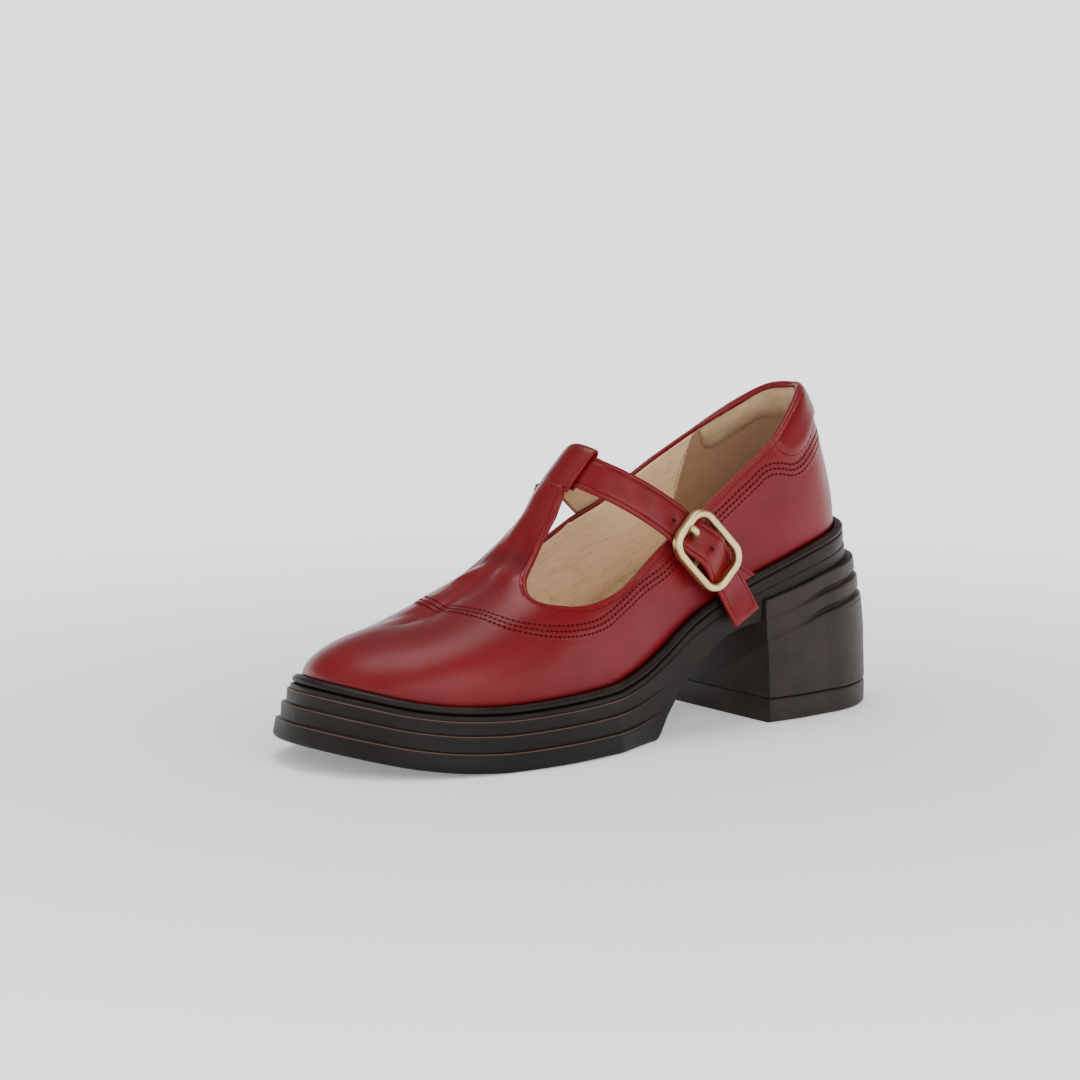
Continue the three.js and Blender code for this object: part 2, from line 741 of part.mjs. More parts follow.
// Vamp and T-bar seen from above, ahead of the front edge of the foot opening
function aheadOfThroat() {
  const edge = [...curved(THROAT_INNER, THROAT_STEPS), ...curved(THROAT_OUTER, THROAT_STEPS)];
  const corners = [{ x: edge[edge.length - 1].x, y: ROOM_TOE }, { x: edge[0].x, y: ROOM_TOE }];
  return planPlate([...edge, ...corners], ROOM_BELOW, 2 * ROOM_ABOVE);
}

// How far a sole edge stands out at a place along the foot
function bandOut(row, y) {
  let out = 0;
  for (const part of ['front', 'arch', 'seat', 'back']) out += row[part] * follow(BAND_FADE, 'y', part, y);
  return out;
}

// Height of the tread: flat, then rising at the toe with the feather line
function treadZ(y) {
  return y < FLAT_FROM ? Math.max(featherZ(y) - SOLE_HEIGHT, 0) : 0;
}

function solePlace(half, u, out, z) {
  const p = featherPoint(half, u);
  p.addScaledVector(planOut(half, u), out);
  p.z = z;
  return p;
}

function ledgeRing(count, row) {
  return ringOf(count, (h, u) => solePlace(h, u, row.out, featherZ(featherPoint(h, u).y) - row.drop));
}

function makeOutsole() {
  const rings = [];
  for (const row of [...BANDS].reverse()) {
    rings.push(ringOf(SOLE_STEPS, (h, u) => {
      const y = featherPoint(h, u).y;
      const tread = treadZ(y);
      const tall = featherZ(y) - BANDS[0].drop - tread;
      const z = tread + ((SOLE_HEIGHT - row.drop) * tall) / (SOLE_HEIGHT - BANDS[0].drop);
      return solePlace(h, u, bandOut(row, y), z);
    }));
  }
  for (const row of LEDGE) rings.push(ledgeRing(SOLE_STEPS, row));
  const arch = sampled(ARCH, 'y', 'z', ARCH[0].y, ARCH[ARCH.length - 1].y, LINE_STEPS);
  return stack(rings, SOLE_STEPS, false).subtract(belowLine([...arch, ...seatLine(0)], -HALF_ROOM, HALF_ROOM));
}

// Everything under a side-view line, across part of the width
function belowLine(line, fromX, toX) {
  const end = line[line.length - 1].y;
  return sidePlate([...line, { y: end, z: ROOM_BELOW }, { y: line[0].y, z: ROOM_BELOW }], fromX, toX);
}

function seatLine(drop) {
  const line = sampled(SEAT, 'y', 'z', SEAT[0].y, SEAT[SEAT.length - 1].y, LINE_STEPS);
  return line.map((p) => ({ y: p.y, z: p.z - drop }));
}

function heelRing(count, row, height) {
  return ringOf(count, (h, u) => {
    const y = featherPoint(h, u).y;
    const back = follow(HEEL_BACK, 'y', 'back', y);
    return solePlace(h, u, lerp(row.side, row.back, back), height(y));
  });
}

// Part of a heel solid behind the breast
function behindBreast(body) {
  const box = new THREE.BoxGeometry(ROOM_ABOVE, ROOM_ABOVE, ROOM_ABOVE);
  box.translate(0, HEEL_FRONT + ROOM_ABOVE / 2, 0);
  return body.intersect(fromGeometry(box));
}

function makeHeelBlock() {
  const seatZ = (y) => follow(SEAT, 'y', 'z', y);
  const rings = HEEL_LEVELS.map((row) => heelRing(SOLE_STEPS, row, (y) => row.seat * seatZ(y) + row.z));
  return behindBreast(stack(rings, SOLE_STEPS, false)).intersect(belowLine(seatLine(GAP), -HALF_ROOM, HALF_ROOM));
}

function makeTopLift() {
  const rings = LIFT_LEVELS.map((row) => heelRing(SOLE_STEPS, row, () => row.z));
  return behindBreast(stack(rings, SOLE_STEPS, false));
}

// Closed hoop of one section carried round the whole outline
function makeWelt() {
  const around = 2 * SOLE_STEPS;
  const rings = WELT.map((row) => ledgeRing(SOLE_STEPS, row));
  const vertices = [];
  const faces = [];
  const n = rings.length;
  for (const ring of rings) for (const p of ring) vertices.push(p.x, p.y, p.z);
  for (let r = 0; r < n; r += 1) {
    for (let i = 0; i < around; i += 1) {
      const a = r * around + i;
      const b = r * around + ((i + 1) % around);
      const c = ((r + 1) % n) * around + ((i + 1) % around);
      const d = ((r + 1) % n) * around + i;
      faces.push(a, b, c, a, c, d);
    }
  }
  return solid(vertices, faces);
}

function makeInsole() {
  const rings = INSOLE.map((row) => ledgeRing(SOLE_STEPS, { out: row.out, drop: -row.rise }));
  return stack(rings, SOLE_STEPS, false);
}

// Height share on the last's wall that lies a given depth below the top edge
function wallShareBelow(half, u, depth) {
  let low = 0;
  let high = 1;
  for (let i = 0; i < SEARCH_STEPS; i += 1) {
    const mid = (low + high) / 2;
    const p = lastBase(half, u, mid);
    if (topZ(half, p.y) - p.z > depth) low = mid;
    else high = mid;
  }
  return (low + high) / 2;
}

function makeCollarPad() {
  const vertices = [];
  const faces = [];
  const steps = LINER_STEPS;
  const rows = LINER_ROWS.length;
  const n = 2 * rows;
  for (let i = 0; i <= steps; i += 1) {
    const along = lerp(-LINER_REACH, LINER_REACH, i / steps);
    const half = along < 0 ? 1 : 0;
    const u = Math.abs(along);
    const end = smoothStep((LINER_REACH - u) / LINER_TAPER);
    const depth = lerp(LINER_END, 1, end) * LINER_DEPTH;
    const row = LINER_ROWS.map((r) => {
      const v = wallShareBelow(half, u, LINER_TOP + r.down * depth);
      const face = -WALL - GAP - LINER_EDGE - r.fill * (LINER_THICK - LINER_EDGE) * end;
      return [lastPoint(half, u, v, 0), lastPoint(half, u, v, face)];
    });
    const section = [...row.map((r) => r[0]), ...row.map((r) => r[1]).reverse()];
    for (const p of section) vertices.push(p.x, p.y, p.z);
  }
  for (let i = 0; i < steps; i += 1) {
    for (let k = 0; k < n; k += 1) {
      const a = i * n + k;
      const b = i * n + ((k + 1) % n);
      faces.push(a, b, b + n, a, b + n, a + n);
    }
  }
  const end = steps * n;
  for (let k = 0; k + 1 < rows; k += 1) {
    const far = n - 1 - k;
    faces.push(k, far, k + 1, k + 1, far, far - 1);
    faces.push(end + k, end + k + 1, end + far, end + k + 1, end + far - 1, end + far);
  }
  return solid(vertices, faces).intersect(lastSolid(-WALL - GAP, SKIRT));
}

function buckleFrame() {
  const out = BUCKLE_OUT.clone();
  const along = BUCKLE_AXIS.clone();
  along.addScaledVector(out.clone().normalize(), -along.dot(out.clone().normalize())).normalize();
  out.normalize();
  const side = new THREE.Vector3().crossVectors(out, along).normalize();
  return new THREE.Matrix4().makeBasis(along, side, out).setPosition(BUCKLE_CENTRE);
}

function roundedOutline(path, length, width, corner) {
  const a = length / 2;
  const b = width / 2;
  path.moveTo(-a + corner, -b);
  path.lineTo(a - corner, -b);
  path.absarc(a - corner, -b + corner, corner, -Math.PI / 2, 0, false);
  path.lineTo(a, b - corner);
  path.absarc(a - corner, b - corner, corner, 0, Math.PI / 2, false);
  path.lineTo(-a + corner, b);
  path.absarc(-a + corner, b - corner, corner, Math.PI / 2, Math.PI, false);
  path.lineTo(-a, -b + corner);
  path.absarc(-a + corner, -b + corner, corner, Math.PI, Math.PI * 1.5, false);
  return path;
}

function makeBuckleFrame() {
  const inset = 2 * BUCKLE_BEVEL;
  const shape = roundedOutline(
    new THREE.Shape(),
    BUCKLE_LENGTH - inset,
    BUCKLE_WIDTH - inset,
    BUCKLE_CORNER - BUCKLE_BEVEL,
  );
  const bar = 2 * BUCKLE_BAR;
  shape.holes.push(roundedOutline(
    new THREE.Path(),
    BUCKLE_LENGTH - bar + inset,
    BUCKLE_WIDTH - bar + inset,
    BUCKLE_CORNER - BUCKLE_BAR + BUCKLE_BEVEL,
  ));
  const geometry = new THREE.ExtrudeGeometry(shape, {
    depth: BUCKLE_THICK - inset,
    bevelEnabled: true,
    bevelThickness: BUCKLE_BEVEL,
    bevelSize: BUCKLE_BEVEL,
    bevelSegments: BEVEL_STEPS,
    curveSegments: CORNER_STEPS,
  });
  geometry.translate(0, 0, BUCKLE_BEVEL - BUCKLE_THICK / 2);
  const { radius, sink } = BUCKLE_HINGE;
  const hinge = new THREE.CylinderGeometry(radius, radius, BUCKLE_WIDTH - BUCKLE_BAR, ROUND_SIDES);
  hinge.translate(0, 0, -sink);
  const place = buckleFrame();
  geometry.applyMatrix4(place);
  hinge.applyMatrix4(place);
  return fromGeometry(geometry).add(fromGeometry(hinge));
}

function rod(from, to, radius, sides) {
  const axis = to.clone().sub(from);
  const geometry = new THREE.CylinderGeometry(radius, radius, axis.length(), sides);
  const turn = new THREE.Quaternion().setFromUnitVectors(new THREE.Vector3(0, 1, 0), axis.clone().normalize());
  geometry.applyQuaternion(turn);
  const middle = from.clone().add(to).multiplyScalar(0.5);
  geometry.translate(middle.x, middle.y, middle.z);
  return fromGeometry(geometry);
}

// Shaft of the prong, from its eye to its tip over the frame, with some room round it
function prongShaft(room) {
  const place = buckleFrame();
  const hinge = new THREE.Vector3(0, 0, -BUCKLE_HINGE.sink);
  const tip = new THREE.Vector3(PRONG.tipAlong, 0, PRONG.tipOut);
  const way = tip.clone().sub(hinge).normalize();
  const start = hinge.clone().addScaledVector(way, PRONG.eye + PRONG.wire - room);
  const end = tip.addScaledVector(way, room);
  return rod(start.applyMatrix4(place), end.applyMatrix4(place), PRONG.radius + room, ROUND_SIDES);
}

function makeProng() {
  const hinge = new THREE.Vector3(0, 0, -BUCKLE_HINGE.sink);
  const ring = new THREE.TorusGeometry(PRONG.eye + PRONG.wire, PRONG.wire, EYE_STEPS.wire, EYE_STEPS.round);
  ring.rotateX(Math.PI / 2);
  ring.translate(hinge.x, hinge.y, hinge.z);
  ring.applyMatrix4(buckleFrame());
  return fromGeometry(ring).add(prongShaft(0));
}

// The feather line raised clear of the welt bead along the quarters, in side view
function seamLine() {
  const line = sampled(FEATHER_Z, 'y', 'z', QUARTER.from, QUARTER.to, LINE_STEPS);
  return line.map((p) => ({ y: p.y, z: p.z + SEAM_CLEAR }));
}

function makeStrap() {
  const band = ribbon(ribbonFrames(STRAP, 0, 1, STRAP_STEPS), STRAP_WIDTH, STRAP_THICK, RIBBON_ROUND);
  return band.subtract(belowLine(seamLine(), -HALF_ROOM, 0)).subtract(prongShaft(PRONG.clear));
}

function makeBuckleTab() {
  const band = ribbon(ribbonFrames(BUCKLE_TAB, 0, 1, TAB_STEPS), TAB_WIDTH, TAB_THICK, RIBBON_ROUND);
  return band.subtract(belowLine(seamLine(), 0, HALF_ROOM));
}

function finish(colour, roughness, metalness) {
  return new THREE.MeshStandardMaterial({ color: colour, roughness, metalness });
}

const RED = finish(0x7a2427, 0.42, 0);
const SOLE_DARK = finish(0x2c2322, 0.55, 0);
const TAN = finish(0xb08d63, 0.7, 0);
const SUEDE = finish(0xc0a67f, 0.95, 0);
const BRASS = finish(0xc9bd8c, 0.3, 1);

function asMesh(name, body, material) {
  const mesh = body.getMesh();
  const geometry = new THREE.BufferGeometry();
  geometry.setAttribute('position', new THREE.BufferAttribute(new Float32Array(mesh.vertProperties), 3));
  geometry.setIndex(Array.from(mesh.triVerts));
  geometry.computeVertexNormals();
  const result = new THREE.Mesh(geometry, material.clone());
  result.name = name;
  return result;
}

const shoe = new THREE.Group();
shoe.add(asMesh('upper', makeUpper(), RED));
shoe.add(asMesh('outsole', makeOutsole(), SOLE_DARK));
shoe.add(asMesh('welt', makeWelt(), SOLE_DARK));
shoe.add(asMesh('heel_block', makeHeelBlock(), SOLE_DARK));
shoe.add(asMesh('heel_top_lift', makeTopLift(), SOLE_DARK));
shoe.add(asMesh('insole', makeInsole(), TAN));
shoe.add(asMesh('collar_pad', makeCollarPad(), SUEDE));
shoe.add(asMesh('strap', makeStrap(), RED));
shoe.add(asMesh('buckle_tab', makeBuckleTab(), RED));
shoe.add(asMesh('buckle_frame', makeBuckleFrame(), BRASS));
shoe.add(asMesh('buckle_prong', makeProng(), BRASS));

// Stand the shoe centred on the origin in plan
const box = new THREE.Box3().setFromObject(shoe);
const centre = box.getCenter(new THREE.Vector3());
for (const mesh of shoe.children) mesh.geometry.translate(-centre.x, -centre.y, -box.min.z);

export default shoe;
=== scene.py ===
"""Left mary jane shoe: leather upper with a T-bar and a buckled strap, platform sole and block heel.

Sizes are millimetres on the shoemaker's last until a piece is placed, then metres in the shared frame.
"""

import logging
import math
from dataclasses import dataclass, field
from enum import Enum
from typing import Any, Sequence

import bmesh
import bpy
import numpy as np
from mathutils import Matrix, Vector
from mathutils.bvhtree import BVHTree

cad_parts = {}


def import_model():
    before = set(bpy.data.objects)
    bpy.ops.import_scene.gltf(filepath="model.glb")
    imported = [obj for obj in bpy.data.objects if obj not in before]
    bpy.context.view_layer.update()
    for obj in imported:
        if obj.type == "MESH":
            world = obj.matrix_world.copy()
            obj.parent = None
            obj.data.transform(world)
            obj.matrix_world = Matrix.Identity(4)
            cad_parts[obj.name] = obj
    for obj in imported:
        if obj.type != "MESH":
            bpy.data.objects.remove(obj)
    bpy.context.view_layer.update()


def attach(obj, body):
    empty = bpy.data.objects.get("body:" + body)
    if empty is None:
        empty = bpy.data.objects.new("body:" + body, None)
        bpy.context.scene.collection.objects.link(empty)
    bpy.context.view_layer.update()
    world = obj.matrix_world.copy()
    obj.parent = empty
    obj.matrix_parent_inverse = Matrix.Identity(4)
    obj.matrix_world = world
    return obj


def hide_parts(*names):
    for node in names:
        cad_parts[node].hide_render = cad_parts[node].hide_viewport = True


LOG = logging.getLogger("shoe")
MM = 0.001
CENTRE = np.array((2.0504, 2.2578, 0.0))
Pair = tuple[float, float]
Triple = tuple[float, float, float]
Rows = Sequence[Sequence[float]]


def smooth(value: Any) -> Any:
    """Soft step from 0 to 1."""
    held = np.clip(value, 0.0, 1.0)
    return held * held * (3.0 - 2.0 * held)


def unit(vectors: np.ndarray) -> np.ndarray:
    """Vectors scaled to length 1."""
    return vectors / np.maximum(np.linalg.norm(vectors, axis=-1, keepdims=True), 1e-9)


def dot(a: np.ndarray, b: np.ndarray) -> np.ndarray:
    """Row by row scalar product."""
    return np.sum(a * b, axis=-1)


def reaches(line: np.ndarray) -> np.ndarray:
    """Distance of each of a line's points from its start."""
    return np.concatenate([[0.0], np.cumsum(np.linalg.norm(np.diff(line, axis=0), axis=1))])


class Table:
    """Monotone cubic through rows with named columns."""

    def __init__(self, columns: str, rows: Rows) -> None:
        """Keeps the rows.

        Args:
            columns: names of the columns, the first being the one that is looked up.
            rows: the numbers, in rising order of the first column.
        """
        self.names = columns.split()
        self.rows = np.array(rows, float)

    def column(self, name: str) -> np.ndarray:
        """One column's numbers."""
        return self.rows[:, self.names.index(name)]

    def slopes(self, name: str) -> np.ndarray:
        """Slope of a column at each row, with no overshoot between rows.

        Args:
            name: the column.

        Returns:
            One slope for each row.
        """
        width = np.diff(self.rows[:, 0])
        rate = np.diff(self.column(name)) / width
        slope = np.zeros(len(self.rows))
        for k in range(1, len(rate)):
            if rate[k - 1] * rate[k] > 0:
                first = 2 * width[k] + width[k - 1]
                second = width[k] + 2 * width[k - 1]
                slope[k] = (first + second) / (first / rate[k - 1] + second / rate[k])
        slope[0] = self.end_slope(width[:2], rate[:2])
        slope[-1] = self.end_slope(width[::-1][:2], rate[::-1][:2])
        return slope

    @staticmethod
    def end_slope(width: np.ndarray, rate: np.ndarray) -> float:
        """Slope at an end of the table from its two nearest steps."""
        if len(rate) < 2:
            return float(rate[0])
        slope = ((2 * width[0] + width[1]) * rate[0] - width[0] * rate[1]) / (width[0] + width[1])
        if slope * rate[0] <= 0:
            return 0.0
        if rate[0] * rate[1] <= 0 and abs(slope) > 3 * abs(rate[0]):
            return float(3 * rate[0])
        return float(slope)

    def at(self, name: str, where: Any) -> np.ndarray:
        """A column read at any places of the first one.

        Args:
            name: the column to read.
            where: values of the first column.

        Returns:
            The column's values there, held at the ends.
        """
        keys = self.rows[:, 0]
        place = np.clip(np.asarray(where, float), keys[0], keys[-1])
        row = np.clip(np.searchsorted(keys, place, side="right") - 1, 0, len(keys) - 2)
        width = (keys[1:] - keys[:-1])[row]
        t = (place - keys[row]) / width
        value, slope = self.column(name), self.slopes(name)
        a, b = value[row], value[row + 1]
        m0, m1 = slope[row] * width, slope[row + 1] * width
        return ((2 * t**3 - 3 * t**2 + 1) * a + (t**3 - 2 * t**2 + t) * m0
                + (3 * t**2 - 2 * t**3) * b + (t**3 - t**2) * m1)


def curve(points: np.ndarray, at: np.ndarray, closed: bool = False) -> np.ndarray:
    """Centripetal curve through points.

    Args:
        points: the points that it passes, one a row.
        at: shares of the points' count, 0 to 1.
        closed: whether the last point leads back to the first.

    Returns:
        Points on the curve, one a row.
    """
    count = len(points)
    place = at * (count if closed else count - 1)
    index = np.floor(place).astype(int)
    if not closed:
        index = np.clip(index, 0, count - 2)
    weight = (place - index)[:, None]
    ends = np.vstack([2 * points[0] - points[1], points, 2 * points[-1] - points[-2]])
    p0, p1, p2, p3 = (points[(index + k) % count] if closed else ends[index + 1 + k] for k in (-1, 0, 1, 2))
    spans = ((p0, p1), (p1, p2), (p2, p3))
    d0, d1, d2 = (np.sum((b - a) ** 2, axis=1, keepdims=True) ** 0.25 for a, b in spans)
    t1 = ((p1 - p0) / d0 - (p2 - p0) / (d0 + d1) + (p2 - p1) / d1) * d1
    t2 = ((p2 - p1) / d1 - (p3 - p1) / (d1 + d2) + (p3 - p2) / d2) * d1
    c2 = -3 * p1 + 3 * p2 - 2 * t1 - t2
    c3 = 2 * p1 - 2 * p2 + t1 + t2
    return ((c3 * weight + c2) * weight + t1) * weight + p1


def evenly(points: np.ndarray, step: float, closed: bool = False) -> np.ndarray:
    """Points at even steps along a line.

    Args:
        points: the line, one point a row.
        step: distance between points, stretched a little to fit.
        closed: whether the line leads back to its first point.

    Returns:
        The new points, without a repeat of the first one on a closed line.
    """
    line = np.vstack([points, points[:1]]) if closed else points
    reach = reaches(line)
    count = max(int(round(reach[-1] / step)), 2)
    goal = np.linspace(0.0, reach[-1], count + 1)
    made = np.stack([np.interp(goal, reach, line[:, k]) for k in range(3)], axis=1)
    return made[:-1] if closed else made


def through(rows: Rows, step: float) -> np.ndarray:
    """Smooth line through a few given points, at even steps."""
    points = np.array(rows, float)
    return evenly(curve(points, np.linspace(0, 1, 24 * len(points))), step)


def nearest_on(points: np.ndarray, line: np.ndarray) -> tuple[np.ndarray, np.ndarray]:
    """Distance from points to a line, with the nearest place on it.

    Args:
        points: places to measure from, one a row, in two or three dimensions.
        line: the line's points, one a row.

    Returns:
        Distances and the nearest places.
    """
    start, step = line[:-1], np.diff(line, axis=0)
    best = np.full(len(points), np.inf)
    place = np.zeros_like(points)
    for a, d in zip(start, step):
        t = np.clip(dot(points - a, d) / max(float(d @ d), 1e-12), 0, 1)
        spot = a + t[:, None] * d
        gap = np.linalg.norm(points - spot, axis=1)
        near = gap < best
        best[near], place[near] = gap[near], spot[near]
    return best, place


# The last: where the upper meets the sole, seen from above, and its height along the foot
HEEL = (0.0, 118.5)
TOE = (-3.0, -117.0)
FEATHER = Table("y outer inner", [
    (-111, 18, 20), (-97, 31.5, 29.5), (-74, 40, 36), (-46, 42, 38), (-14, 37, 33),
    (20, 30, 25), (52, 27.5, 23), (82, 28, 26), (102, 24, 23.5), (114, 14, 14)])
FEATHER_Z = Table("y z", [
    (-130, 34.9), (-118, 31.9), (-95, 25.6), (-80, 23.4), (-60, 22.4), (-40, 22.6), (-25, 22.9), (-15, 23.4),
    (0, 26.9), (12, 32.3), (31, 43.8), (50, 52.1), (70, 59.4), (90, 65.7), (110, 70.5), (125, 73)])
RIDGE = Table("y z", [
    (-80, 47.3), (-65, 49.8), (-55, 54), (-45, 59.1), (-35, 66.3), (-25, 75.6), (-15, 86.3), (-5, 98),
    (3, 107.1), (20, 120.4), (40, 131.7), (60, 140), (90, 146.5)])
RIDGE_X = Table("y x", [(-80, -2), (-40, -1), (0, 0), (40, 0)])
FULLNESS = Table("share plan rise bulge", [
    (0, 1.8, 1.75, 0), (0.15, 1.9, 1.85, 2), (0.3, 1.7, 1.7, 2.9), (0.45, 1.5, 1.6, 2.6),
    (0.65, 1.7, 1.8, 2.6), (0.85, 1.9, 1.9, 1.5), (1, 1.75, 1.9, -2.2)])
TOPLINE_OUTER = Table("y z", [
    (-70, 50.2), (-27, 51.1), (-20, 52.6), (-15, 53.5), (-5, 56.1), (8, 64.2), (19, 71.6), (39, 83),
    (56.5, 94.8), (75, 106.7), (83, 113.6), (90, 119), (98, 123.7), (106, 124.8), (125, 124.5)])
TOPLINE_INNER = Table("y z", [
    (-70, 53.4), (-30, 55), (-18, 58.7), (-4, 66), (5, 71.6), (12, 76.7), (26, 81.7), (41, 92), (58, 100.6),
    (76, 108.9), (93, 118.1), (102, 123.8), (110, 124.6), (125, 124.5)])
THROAT_OUTER = [
    (7.2, -6), (7.4, -14), (9, -22.5), (13, -32.2), (16.2, -37.8), (19.7, -41), (23.7, -43), (27.1, -42.8),
    (30.6, -40.4), (32.8, -36.6), (34.4, -32.6), (35.5, -27), (60, -20)]
THROAT_INNER = [
    (-60, -22), (-33, -28), (-31, -32.6), (-29.2, -36.6), (-26.5, -39.8), (-23.5, -40.4), (-20.5, -38.3),
    (-17.8, -32.9), (-14, -22.5), (-12.4, -14), (-12.2, -6)]
TOE_DEPTH = 40.0
HEEL_DEPTH = 36.0
BULGE_TOP = 0.7
STRAP_LINE = [
    (-25, 49.4, 56.5, -0.99, 0.04, -0.05), (-25.6, 44, 61.9, -1, 0.03, 0),
    (-25.8, 36, 71.1, -0.99, 0.01, 0.1), (-24.2, 25, 80.1, -0.97, -0.07, 0.21),
    (-20.2, 13.8, 88.3, -0.9, -0.18, 0.38), (-14.6, 4.2, 94.6, -0.74, -0.38, 0.53),
    (-8.6, -2.2, 98.6, -0.4, -0.64, 0.62), (-2.5, -4.6, 100.2, 0, -0.74, 0.66),
    (4.6, -4.2, 99.6, 0.3, -0.7, 0.64), (10.8, -1.6, 97.3, 0.56, -0.56, 0.6),
    (17.2, 4.4, 93.7, 0.76, -0.34, 0.52), (24, 13.6, 87.3, 0.88, -0.2, 0.4),
    (29.7, 23, 79.4, 0.95, -0.02, 0.26), (30.4, 25.6, 76.7, 0.94, -0.06, 0.3),
    (33.9, 29.2, 73.6, 0.93, -0.1, 0.3), (37.3, 33.6, 69.5, 0.97, 0.02, 0.2),
    (35.7, 38, 64.4, 0.97, 0.14, 0.12), (33.5, 41.4, 60, 0.97, 0.1, 0.16),
    (33.8, 44, 57.3, 0.97, 0.06, 0.2), (34, 48.4, 50.2, 0.97, 0.08, 0.2), (36, 52.4, 41.7, 0.96, 0.06, 0.26)]
# Where the straps go into the sole seam, and the direction that is kept
INNER_CUT = ((-25, 49.4, 52.6), (0, -0.36, 0.93))
OUTER_CUT = ((30, 49.4, 52.6), (0, -0.36, 0.93))
TAB_LINE = [
    (29.8, 58, 50.7, 0.99, 0.04, -0.05), (30.2, 49.4, 56.3, 0.98, 0.04, 0.05),
    (31.4, 41.5, 59.4, 0.97, 0.02, 0.2), (32.4, 35.7, 66.1, 0.95, -0.06, 0.22)]


class Last:
    """The foot form. A station runs from -1 at the toe round the inner side to 0 at the heel and on to 1."""

    DENSE = 2200
    PLAN_STEP = 0.004
    SLOPE_STEP = (0.006, 0.012)
    RISE_LIMIT = 0.992
    NORMAL_LIMIT = 0.985
    SHARED_FROM = 0.93
    SHARED_OVER = 0.06

    def __init__(self) -> None:
        """Lays out both halves of the feather line."""
        rows = FEATHER.rows[::-1]
        outer, inner = [(out, y) for y, out, _ in rows], [(-out, y) for y, _, out in rows[::-1]]
        points = [HEEL, *outer, TOE, *inner]
        dense = curve(np.array(points, float), np.arange(self.DENSE) / self.DENSE, closed=True)
        middle = self.DENSE // 2
        lines = dense[:middle + 1], np.vstack([dense[:1], dense[:middle - 1:-1]])
        self.halves = [self.measured(line) for line in lines]

    @staticmethod
    def measured(line: np.ndarray) -> tuple[np.ndarray, np.ndarray]:
        """A line with each point's share of its length."""
        reach = reaches(line)
        return line, reach / reach[-1]

    @staticmethod
    def wrapped(station: np.ndarray) -> np.ndarray:
        """Stations past the toe carried on round the other side."""
        return (station + 1) % 2 - 1

    def outline(self, station: np.ndarray) -> np.ndarray:
        """The feather line in plan.

        Args:
            station: places round the foot.

        Returns:
            Points x, y.
        """
        share = np.abs(station)
        sides = []
        for line, reach in self.halves:
            sides.append(np.stack([np.interp(share, reach, line[:, k]) for k in (0, 1)], axis=-1))
        return np.where((station >= 0)[..., None], sides[0], sides[1])

    def outward(self, station: np.ndarray) -> np.ndarray:
        """Direction straight out of the outline in plan, as x, y, 0."""
        ahead = self.outline(self.wrapped(station + self.PLAN_STEP))
        along = unit(ahead - self.outline(self.wrapped(station - self.PLAN_STEP)))
        return np.stack([-along[..., 1], along[..., 0], np.zeros(along.shape[:-1])], axis=-1)

    def share(self, station: np.ndarray) -> np.ndarray:
        """Share of the length at a station, toe 0 and heel 1."""
        mean = (self.outline(np.abs(station))[..., 1] + self.outline(-np.abs(station) - 1e-12)[..., 1]) / 2
        return (mean - TOE[1]) / (HEEL[1] - TOE[1])

    def surface(self, station: np.ndarray, rise: np.ndarray) -> np.ndarray:
        """The last's surface.

        Args:
            station: places round the foot.
            rise: 0 on the feather line to 1 on the top line.

        Returns:
            Points x, y, z.
        """
        foot, out, share = self.outline(station), self.outward(station), self.share(station)
        crown_y = TOE[1] + TOE_DEPTH + (HEEL[1] - HEEL_DEPTH - TOE[1] - TOE_DEPTH) * share
        crown_x, crown_z = RIDGE_X.at("x", crown_y), RIDGE.at("z", crown_y)
        angle = rise * math.pi / 2
        across = np.clip(np.cos(angle), 0, 1) ** (2 / FULLNESS.at("plan", share))
        up = np.clip(np.sin(angle), 0, 1) ** (2 / FULLNESS.at("rise", share))
        swell = np.where(rise < BULGE_TOP, np.sin(math.pi * rise / BULGE_TOP), 0)
        swell = swell * FULLNESS.at("bulge", share)
        low = FEATHER_Z.at("z", foot[..., 1])
        return np.stack([
            crown_x + (foot[..., 0] - crown_x) * across + out[..., 0] * swell,
            crown_y + (foot[..., 1] - crown_y) * across + out[..., 1] * swell,
            low + (crown_z - low) * up], axis=-1)

    def slope_normal(self, station: np.ndarray, rise: np.ndarray) -> np.ndarray:
        """Outward direction measured over a small step each way."""
        ds, dr = self.SLOPE_STEP
        ahead, behind = (self.surface(self.wrapped(station + step), rise) for step in (ds, -ds))
        above = self.surface(station, np.minimum(rise + dr, self.RISE_LIMIT))
        below = self.surface(station, np.maximum(rise - dr, 0))
        return -unit(np.cross(ahead - behind, above - below))

    def normal(self, station: np.ndarray, rise: np.ndarray) -> np.ndarray:
        """Outward direction, shared by both halves along the top line."""
        near = np.minimum(rise, self.NORMAL_LIMIT)
        own, other = self.slope_normal(station, near), self.slope_normal(-station, near)
        blend = smooth((rise - self.SHARED_FROM) / self.SHARED_OVER)[..., None] * 0.5
        return unit(own * (1 - blend) + other * blend)


